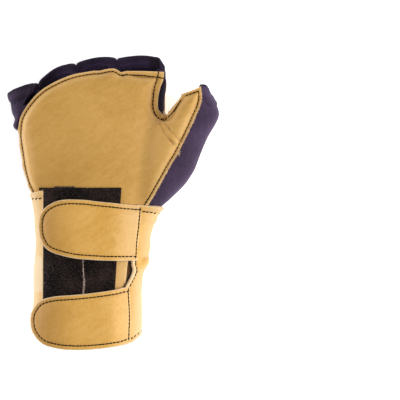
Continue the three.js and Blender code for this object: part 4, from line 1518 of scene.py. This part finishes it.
def wander(root, way, length, curl, drop, seed, steps=6):
    """Lines of loose fibres that start off in one direction each, and curl and droop at random."""
    chance = np.random.default_rng(seed)
    count = len(root)
    lines = np.zeros((count, steps, 3))
    lines[:, 0] = root
    stride = length / (steps - 1)
    way = way.copy()
    for i in range(1, steps):
        way += chance.normal(0, curl, (count, 3)) + [0, 0, -drop]
        way /= np.linalg.norm(way, axis=1)[:, None]
        lines[:, i] = lines[:, i - 1] + way * stride[:, None]
    return lines


def loose_fibres(name, base, deep):
    """Loose fibres of cotton, nylon or hide: matt, with a soft light along their sides."""
    material, tree, place = blank(name)
    cloud = add(tree, "TexNoise", {"Vector": place, "Scale": per_mm(2), "Detail": 2.0})
    shade = add(tree, "MapRange", {0: cloud.outputs[0], 1: 0.35, 2: 0.65})
    colour = add(tree, "Mix", {0: shade.outputs[0], 6: linear(deep), 7: linear(base)}, data_type="RGBA")
    shader = add(
        tree,
        "BsdfPrincipled",
        {"Base Color": colour.outputs[2], "Roughness": 0.9, "Sheen Weight": 0.3},
    )
    add(tree, "OutputMaterial", {"Surface": shader.outputs[0]})
    return material


# Lint in the hooks, and the frayed selvedges that stand up along the gap
chance = np.random.default_rng(73)
x = chance.uniform(-31, 17, LINT)
below = chance.random(LINT) < 0.8
y = np.where(below, chance.uniform(*BELOW_STRAP, LINT), chance.uniform(*ABOVE_STRAP, LINT))
cluster = ripple(np.stack([x, y, 0 * x], 1), 14, 75) + 0.5 * (x < -18)
keep = on_tapes(x, y) & (cluster > 0.75)
root, normal = face_at(x[keep], y[keep], flat(HOOK_HIGH + 0.5))
way = chance.normal(size=root.shape) * [1, 1, 0.25]
way /= np.linalg.norm(way, axis=1)[:, None]
length = chance.uniform(0.6, 2.4, len(root))
lines = wander(root, way, length, 0.6, 0.0, 76)
lint = strands("tape_lint", lines, 0.08 * np.array([0.7, 1, 1, 1, 0.8, 0.4]), sides=4)
dress(lint, loose_fibres("grey_brown_lint", "#7b6a62", "#4b3e39"))
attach(lint, "root")

gap_lines = []
for i in range(3):
    y = np.linspace(63, 36, 60)
    sway = ripple(np.stack([y, y * 0 + i * 9, y * 0], 1), 5, 77) * 0.16
    x = gap_x(y) + sway + chance.normal(0, 0.08)
    face, _ = face_at(x, y, flat(HOOK_HIGH + 0.1 + 0.12 * i))
    gap_lines.append(face)
selvedge = strands("tape_selvedge_threads", np.array(gap_lines), 0.13, sides=4)
y = chance.uniform(*BELOW_STRAP, FRAY)
y = np.where(chance.random(FRAY) < 0.7, chance.uniform(36, 45, FRAY), y)
x = gap_x(y) + chance.normal(0, 0.25, FRAY)
root, _ = face_at(x, y, flat(HOOK_HIGH + 0.2))
across = chance.choice([-1, 1], FRAY)
along = chance.normal(0, 0.8, FRAY)
rise = chance.uniform(0.1, 0.8, FRAY)
way = np.column_stack([across, along, rise])
way /= np.linalg.norm(way, axis=1)[:, None]
lines = wander(root, way, chance.uniform(0.4, 1.5, FRAY), 0.5, 0.05, 78)
fray = strands("tape_selvedge_fray", lines, 0.12 * np.array([0.8, 1, 1, 0.9, 0.7, 0.4]), sides=4)
pale_cotton = loose_fibres("undyed_cotton_yarn", "#cbb5a6", "#937b70")
for piece in (selvedge, fray):
    dress(piece, pale_cotton)
    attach(piece, "root")

# Straps
# Two closing straps of the cuff's leather, lined, sewn round their edges and sewn to the cuff along
# its seam on the thumb side. Black loop tape is sewn under their tips.
UPPER_STRAP = [
    (0.56, 0.944), (0.495, 0.949), (0.327, 0.959), (0.24, 0.966), (0.063, 0.978), (-0.025, 0.986),
    (-0.157, 0.99), (-0.237, 0.988), (-0.307, 0.98), (-0.376, 0.961), (-0.43, 0.937),
    (-0.469, 0.907), (-0.496, 0.865), (-0.505, 0.805), (-0.496, 0.745), (-0.473, 0.703),
    (-0.442, 0.667), (-0.385, 0.637), (-0.315, 0.619), (-0.218, 0.601), (-0.112, 0.588),
    (0.02, 0.581), (0.152, 0.576), (0.327, 0.574), (0.56, 0.574),
]
LOWER_STRAP = [
    (0.56, 0.42), (0.34, 0.401), (0.26, 0.388), (0.102, 0.372), (-0.074, 0.358), (-0.294, 0.346),
    (-0.381, 0.337), (-0.452, 0.323), (-0.505, 0.301), (-0.549, 0.265), (-0.58, 0.223),
    (-0.588, 0.175), (-0.58, 0.127), (-0.554, 0.085), (-0.505, 0.043), (-0.435, 0.011),
    (-0.338, -0.007), (-0.233, -0.017), (-0.074, -0.02), (0.102, -0.012), (0.235, -0.001),
    (0.349, 0.014), (0.56, 0.07),
]
STRAP_LOW, STRAP_HIGH = 4.7, 6.5
STRAP_DROP = 2.8
STRAP_LIP = 3.2
ROLL_OUT = 0.4  # how far the rounded edge stands out
STRAP_LAP = 1.7  # how far a strap runs on past its seam
LOOP_LOW, LOOP_HIGH = 3.4, 4.4
LOOP_ENDS, LOOP_EDGE = (-25.8, 8.8), 5  # across the wrist, and inside the strap's edge
# A soft diagonal crease across the upper strap
STRAP_CREASE = [(6.8, 84.5), (11, 80), (15, 75.5), (18.5, 72)]


def strap_drop(x):
    return STRAP_DROP * smooth(x, 0.2 * CUFF_WIDTH, 0.44 * CUFF_WIDTH)


def strap_height(p):
    past = p[:, 0] - seam_row(p[:, 1])
    return STRAP_HIGH - strap_drop(p[:, 0]) - 1.1 * smooth(past, 0.3, STRAP_LAP)


def strap_under(p):
    return STRAP_LOW - strap_drop(p[:, 0])


def strap_edge(points):
    return curve(on_cuff(points), 120)


strap_crease = curve(STRAP_CREASE, 12)


def strap_relief(p, edge, seed):
    x, y, _ = p.T
    depth = inside(edge, x, y)
    row = bell(depth - STRAP_LIP, DENT)
    row = np.maximum(row, bell(x - seam_row(y), 0.8))
    lip = bell(depth, 2.0) * ripple(p, 8, seed)
    swell = 0.5 * smooth(depth, STRAP_LIP, STRAP_LIP + 4)
    soft = ripple(p, 24, seed + 1) * smooth(depth, 2, 10)
    crease = line_hollow(strap_crease, x, y, 1.3)
    brink = 0.5 * bell(depth, 0.8)
    return swell + 0.3 * soft + 0.2 * lip - 0.6 * row + 0.3 * crease - brink


def loop_pile(name):
    """Knitted nylon loop tape, dyed black: a soft matt pile."""
    material, tree, place = blank(name)
    pile = add(tree, "TexVoronoi", {"Vector": place, "Scale": per_mm(0.8)})
    fuzz = add(tree, "TexNoise", {"Vector": place, "Scale": per_mm(0.4), "Detail": 3.0})
    shade = add(tree, "Math", {0: pile.outputs[0], 1: fuzz.outputs[0]}, operation="MULTIPLY")
    colour = add(
        tree, "Mix", {0: shade.outputs[0], 6: linear("#150f0f"), 7: linear("#3c3230")}, data_type="RGBA"
    )
    bump = add(tree, "Bump", {"Height": pile.outputs[0], "Strength": 0.9, "Distance": 0.0005})
    shader = add(
        tree,
        "BsdfPrincipled",
        {
            "Base Color": colour.outputs[2],
            "Roughness": 0.95,
            "Normal": bump.outputs[0],
            "Sheen Weight": 0.3,
        },
    )
    add(tree, "OutputMaterial", {"Surface": shader.outputs[0]})
    return material


def strap_tone(p):
    """Painted shade makes it darker at the tip, and a painted highlight makes it paler where it bends
    down to the seam.
    """
    x = p[:, 0]
    return 0.32 * smooth(x, 12, 34) - 0.55 * (1 - smooth(x, -36, 0))


pile_tape = loop_pile("black_knitted_nylon_loop_tape")
for side, points, seed in [("upper", UPPER_STRAP, 41), ("lower", LOWER_STRAP, 47)]:
    edge = strap_edge(points)

    def strap_region(p, edge=edge):
        x, y, z = p.T
        return np.minimum.reduce(
            [inside(edge, x, y) - ROLL_OUT, seam_row(y) + STRAP_LAP - x, z - seam_level(x, y)]
        )

    low, high = edge[:, 1].min() - 4, edge[:, 1].max() + 4
    strap = wall(
        side + "_strap_leather",
        strap_height,
        strap_under,
        strap_region,
        [(-50, low, 12), (40, high, 54)],
        0.75,
        roll=0.45,
        relief=lambda p, edge=edge, seed=seed: strap_relief(p, edge, seed),
        tone=strap_tone,
    )
    dress(strap, cuff_grain, cuff_suede)
    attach(strap, "root")
    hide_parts(side + "_strap")

    rows = inset(edge, edge, STRAP_LIP)
    rows = rows[rows[:, 0] < seam_row(rows[:, 1]) + STRAP_LAP]
    down = np.linspace(edge[:, 1].max(), edge[:, 1].min(), 160)
    down = down[inside(edge, seam_row(down), down) > 1.2]
    strap_stitches = stitches(
        side + "_strap_stitches",
        [rows, np.column_stack([seam_row(down), down])],
        lambda p, edge=edge, seed=seed: strap_height(p) + strap_relief(p, edge, seed),
        seed=seed,
    )
    dress(strap_stitches, brown_thread)
    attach(strap_stitches, "root")

    def loop_region(p, edge=edge):
        x, y, z = p.T
        depth = inside(edge, x, y) - LOOP_EDGE
        ends = [x - LOOP_ENDS[0], LOOP_ENDS[1] - x]
        return np.minimum.reduce([depth, *ends, y, z - seam_level(x, y)])

    tape = wall(
        side + "_loop_strip",
        flat(LOOP_HIGH),
        flat(LOOP_LOW),
        loop_region,
        [(-30, low, 12), (12, high, 54)],
        0.9,
    )
    dress(tape, pile_tape, pile_tape)
    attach(tape, "root")
    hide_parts(side + "_loop_tape")

# Cuff stitches
# Rows of the same dark thread along the cuff's top and mouth, and down the seam that holds the
# straps.
def cuff_face(p):
    return CUFF_HIGH + cuff_relief(p)


across = np.linspace(-33.5, 46, 120)
back_top = np.column_stack([across, np.interp(across, *CUFF_TOP.T) - CUFF_LIP])
across = np.linspace(-35, 33, 110)
back_mouth = np.column_stack([across, np.interp(across, *CUFF_MOUTH.T) + MOUTH_ROW])
back_stitches = stitches("cuff_back_stitches", [back_top, back_mouth], cuff_face, above=False, seed=5)
down = np.linspace(SLIT[1] - 1, SLIT[0] + 1, 60)
slit_row = np.column_stack([seam_row(down), down])
across = np.linspace(35.5, 47.5, 20)
palm_top_row = np.column_stack([across, np.interp(across, *CUFF_PALM_TOP.T) - CUFF_LIP - PALM_MORE])
across = np.linspace(27.5, 34.8, 16)
palm_mouth_row = np.column_stack([across, np.interp(across, *CUFF_MOUTH.T) + MOUTH_ROW])
margin_row = np.array([(-39.8, 100.0), (-31.6, 100.4)])
front_stitches = stitches(
    "cuff_front_stitches",
    [palm_top_row, palm_mouth_row, margin_row, slit_row],
    lambda p: np.maximum(cuff_face(p), 0),
    seed=6,
)
for rows in (back_stitches, front_stitches):
    dress(rows, brown_thread)
    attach(rows, "root")

# Raw edges
# Hide fibres stand out of the leather's cut edges, dark brown pile fills the slit between the
# straps as its fluff and as painted shade, and the knit frays at the ends of the index finger's
# and the thumb's hems.
def fringe(name, line, high, count, length, seed, above=True, thick=0.09, spread=0.6, drop=0.06):
    """Short fibres that stand out of a cut edge, which the line follows with the sheet at its left."""
    chance = np.random.default_rng(seed)
    line = np.array(line, float)
    spots, way = paced(line, 0.15)
    pick = chance.integers(0, len(spots), count)
    out = np.stack([way[pick, 1], -way[pick, 0]], 1)
    root, normal = face_at(*(spots[pick] - 0.25 * out).T, high, above)
    root -= normal * chance.uniform(0.1, 1.0, (count, 1))
    course = np.column_stack([out, np.zeros(count)]) + chance.normal(0, spread, (count, 3)) * [1, 1, 0.5]
    course /= np.linalg.norm(course, axis=1)[:, None]
    lines = wander(root, course, chance.uniform(*length, count), 0.3, drop, seed + 1)
    return strands(name, lines, thick * np.array([1, 0.95, 0.85, 0.7, 0.5, 0.25]), sides=4)


free_edge = outer_line[::-1]
free_edge = free_edge[free_edge[:, 1] > 148]  # below that the edge is turned in at the seam
# The frayed corners of two hems, a tuft on the seam at the thumb's root and the tapes' cut top
INDEX_CORNER = [(50.6, 182), (50, 190), (46.5, 195), (40, 197)]
THUMB_CORNER = [(80, 177), (76.5, 177), (71, 173.5)]
SEAM_TUFT = [(59.3, 130.2), (60.4, 132.2)]
TAPE_LINT = [(-10, TAPE_TOP), (-24, TAPE_TOP)]
hide_fibres = loose_fibres("tan_hide_fibres", "#ecd0a2", "#c79e66")
brown_pile_and_shade = loose_fibres("brown_acrylic_pile_and_painted_shade", "#3a2514", "#180d06")
dark_fibres = loose_fibres("black_polyamide_fibres", "#2b2028", "#120d11")
slit_line = np.column_stack([seam_row(down) - SLIT_LIP, down])
underside = {"above": False}
frayed = {"above": False, "thick": 0.12}
for name, line, high, count, length, seed, more, finish in [
    ("palm_seam_fibres", seam_line[::-1], 1.6, 420, (0.5, 1.5), 81, {}, hide_fibres),
    ("palm_edge_fibres", free_edge, 1.6, 300, (0.3, 0.9), 83, {}, hide_fibres),
    ("patch_edge_fibres", patch_line, 1.6, 700, (0.5, 1.4), 85, underside, hide_fibres),
    ("cuff_edge_fibres", back_top + [0, CUFF_LIP], 3.0, 420, (0.3, 1.0), 87, underside, hide_fibres),
    # The slit's pile is dark as painted shade in the slit, as well as brown fluff
    ("slit_pile", slit_line, 2.6, 1100, (1.0, 3.0), 89, {"thick": 0.13, "drop": 0.25}, brown_pile_and_shade),
    ("index_hem_fray", INDEX_CORNER, 1.2, 260, (0.5, 1.5), 91, frayed, dark_fibres),
    ("thumb_hem_fray", THUMB_CORNER, 1.2, 120, (0.5, 1.6), 93, frayed, dark_fibres),
    ("palm_seam_tuft", SEAM_TUFT, 1.6, 26, (1.2, 3.8), 95, {"spread": 0.4, "drop": 0.02}, hide_fibres),
    ("tape_top_lint", TAPE_LINT, 3.1, 260, (0.6, 2.2), 97, {"thick": 0.12, "spread": 0.9}, dark_fibres),
]:
    piece = fringe(name, line, flat(high), count, length, seed, **more)
    dress(piece, finish)
    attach(piece, "root")

# Camera, light and floor
# Straight above the glove, which lies in the left half of the frame.
SCALE = 0.68  # millimetres a pixel at the glove's middle height
PICTURE = 400  # pixels across and down
WRIST_AT = (90, 346)  # where the wrist's middle lies in the picture, from its upper left
GLOVE_MIDDLE = 22  # the height that it aims at
CAMERA_HEIGHT = 2400
SENSOR = 36
camera = bpy.data.objects.new("camera", bpy.data.cameras.new("camera"))
bpy.context.scene.collection.objects.link(camera)
bpy.context.scene.camera = camera
right = (PICTURE / 2 - WRIST_AT[0]) * SCALE
up = (WRIST_AT[1] - PICTURE / 2) * SCALE
aim = np.array([right, up, GLOVE_MIDDLE]) - MIDDLE
camera.location = Vector((aim + [0, 0, CAMERA_HEIGHT]) / 1000)
camera.data.sensor_width = SENSOR
camera.data.lens = SENSOR * CAMERA_HEIGHT / (PICTURE * SCALE)
camera.data.clip_end = 20

bpy.context.scene.view_settings.view_transform = "Standard"

floor_mesh = bpy.data.meshes.new("floor")
floor_mesh.from_pydata([(-3, -3, 0), (3, -3, 0), (3, 3, 0), (-3, 3, 0)], [], [(0, 1, 2, 3)])
floor = bpy.data.objects.new("floor", floor_mesh)
bpy.context.scene.collection.objects.link(floor)


def paper(name, shade_a, shade_b):
    """White paper sweep: matt and even, with the faint cloudiness of its fibres."""
    material, tree, place = blank(name)
    cloud = add(tree, "TexNoise", {"Vector": place, "Scale": per_mm(60), "Detail": 3.0})
    colour = add(
        tree, "Mix", {0: cloud.outputs[0], 6: linear(shade_a), 7: linear(shade_b)}, data_type="RGBA"
    )
    shader = add(
        tree,
        "BsdfPrincipled",
        {
            "Base Color": colour.outputs[2],
            "Roughness": 0.9,
            "Emission Color": linear("#ffffff"),
            "Emission Strength": 0.5,
        },
    )
    add(tree, "OutputMaterial", {"Surface": shader.outputs[0]})
    return material


dress(floor, paper("white_paper_sweep", "#fafafa", "#ffffff"))

for name, place, size, power in [
    ("left_softbox", (-1.1, 0.1, 0.2), 0.5, 7),
    ("right_softbox", (0.95, -0.1, 0.62), 0.7, 10),
    ("top_softbox", (0.2, 0.4, 1.6), 1.4, 5),
]:
    light = bpy.data.lights.new(name, "AREA")
    light.size = size
    light.energy = power
    lamp = bpy.data.objects.new(name, light)
    lamp.location = place
    lamp.rotation_euler = (Vector((0, 0, 0)) - Vector(place)).to_track_quat("-Z", "Y").to_euler()
    bpy.context.scene.collection.objects.link(lamp)
world = bpy.data.worlds.new("studio")
bpy.context.scene.world = world
world.use_nodes = True
world.node_tree.nodes["Background"].inputs["Color"].default_value = (1, 1, 1, 1)
world.node_tree.nodes["Background"].inputs["Strength"].default_value = 0.5
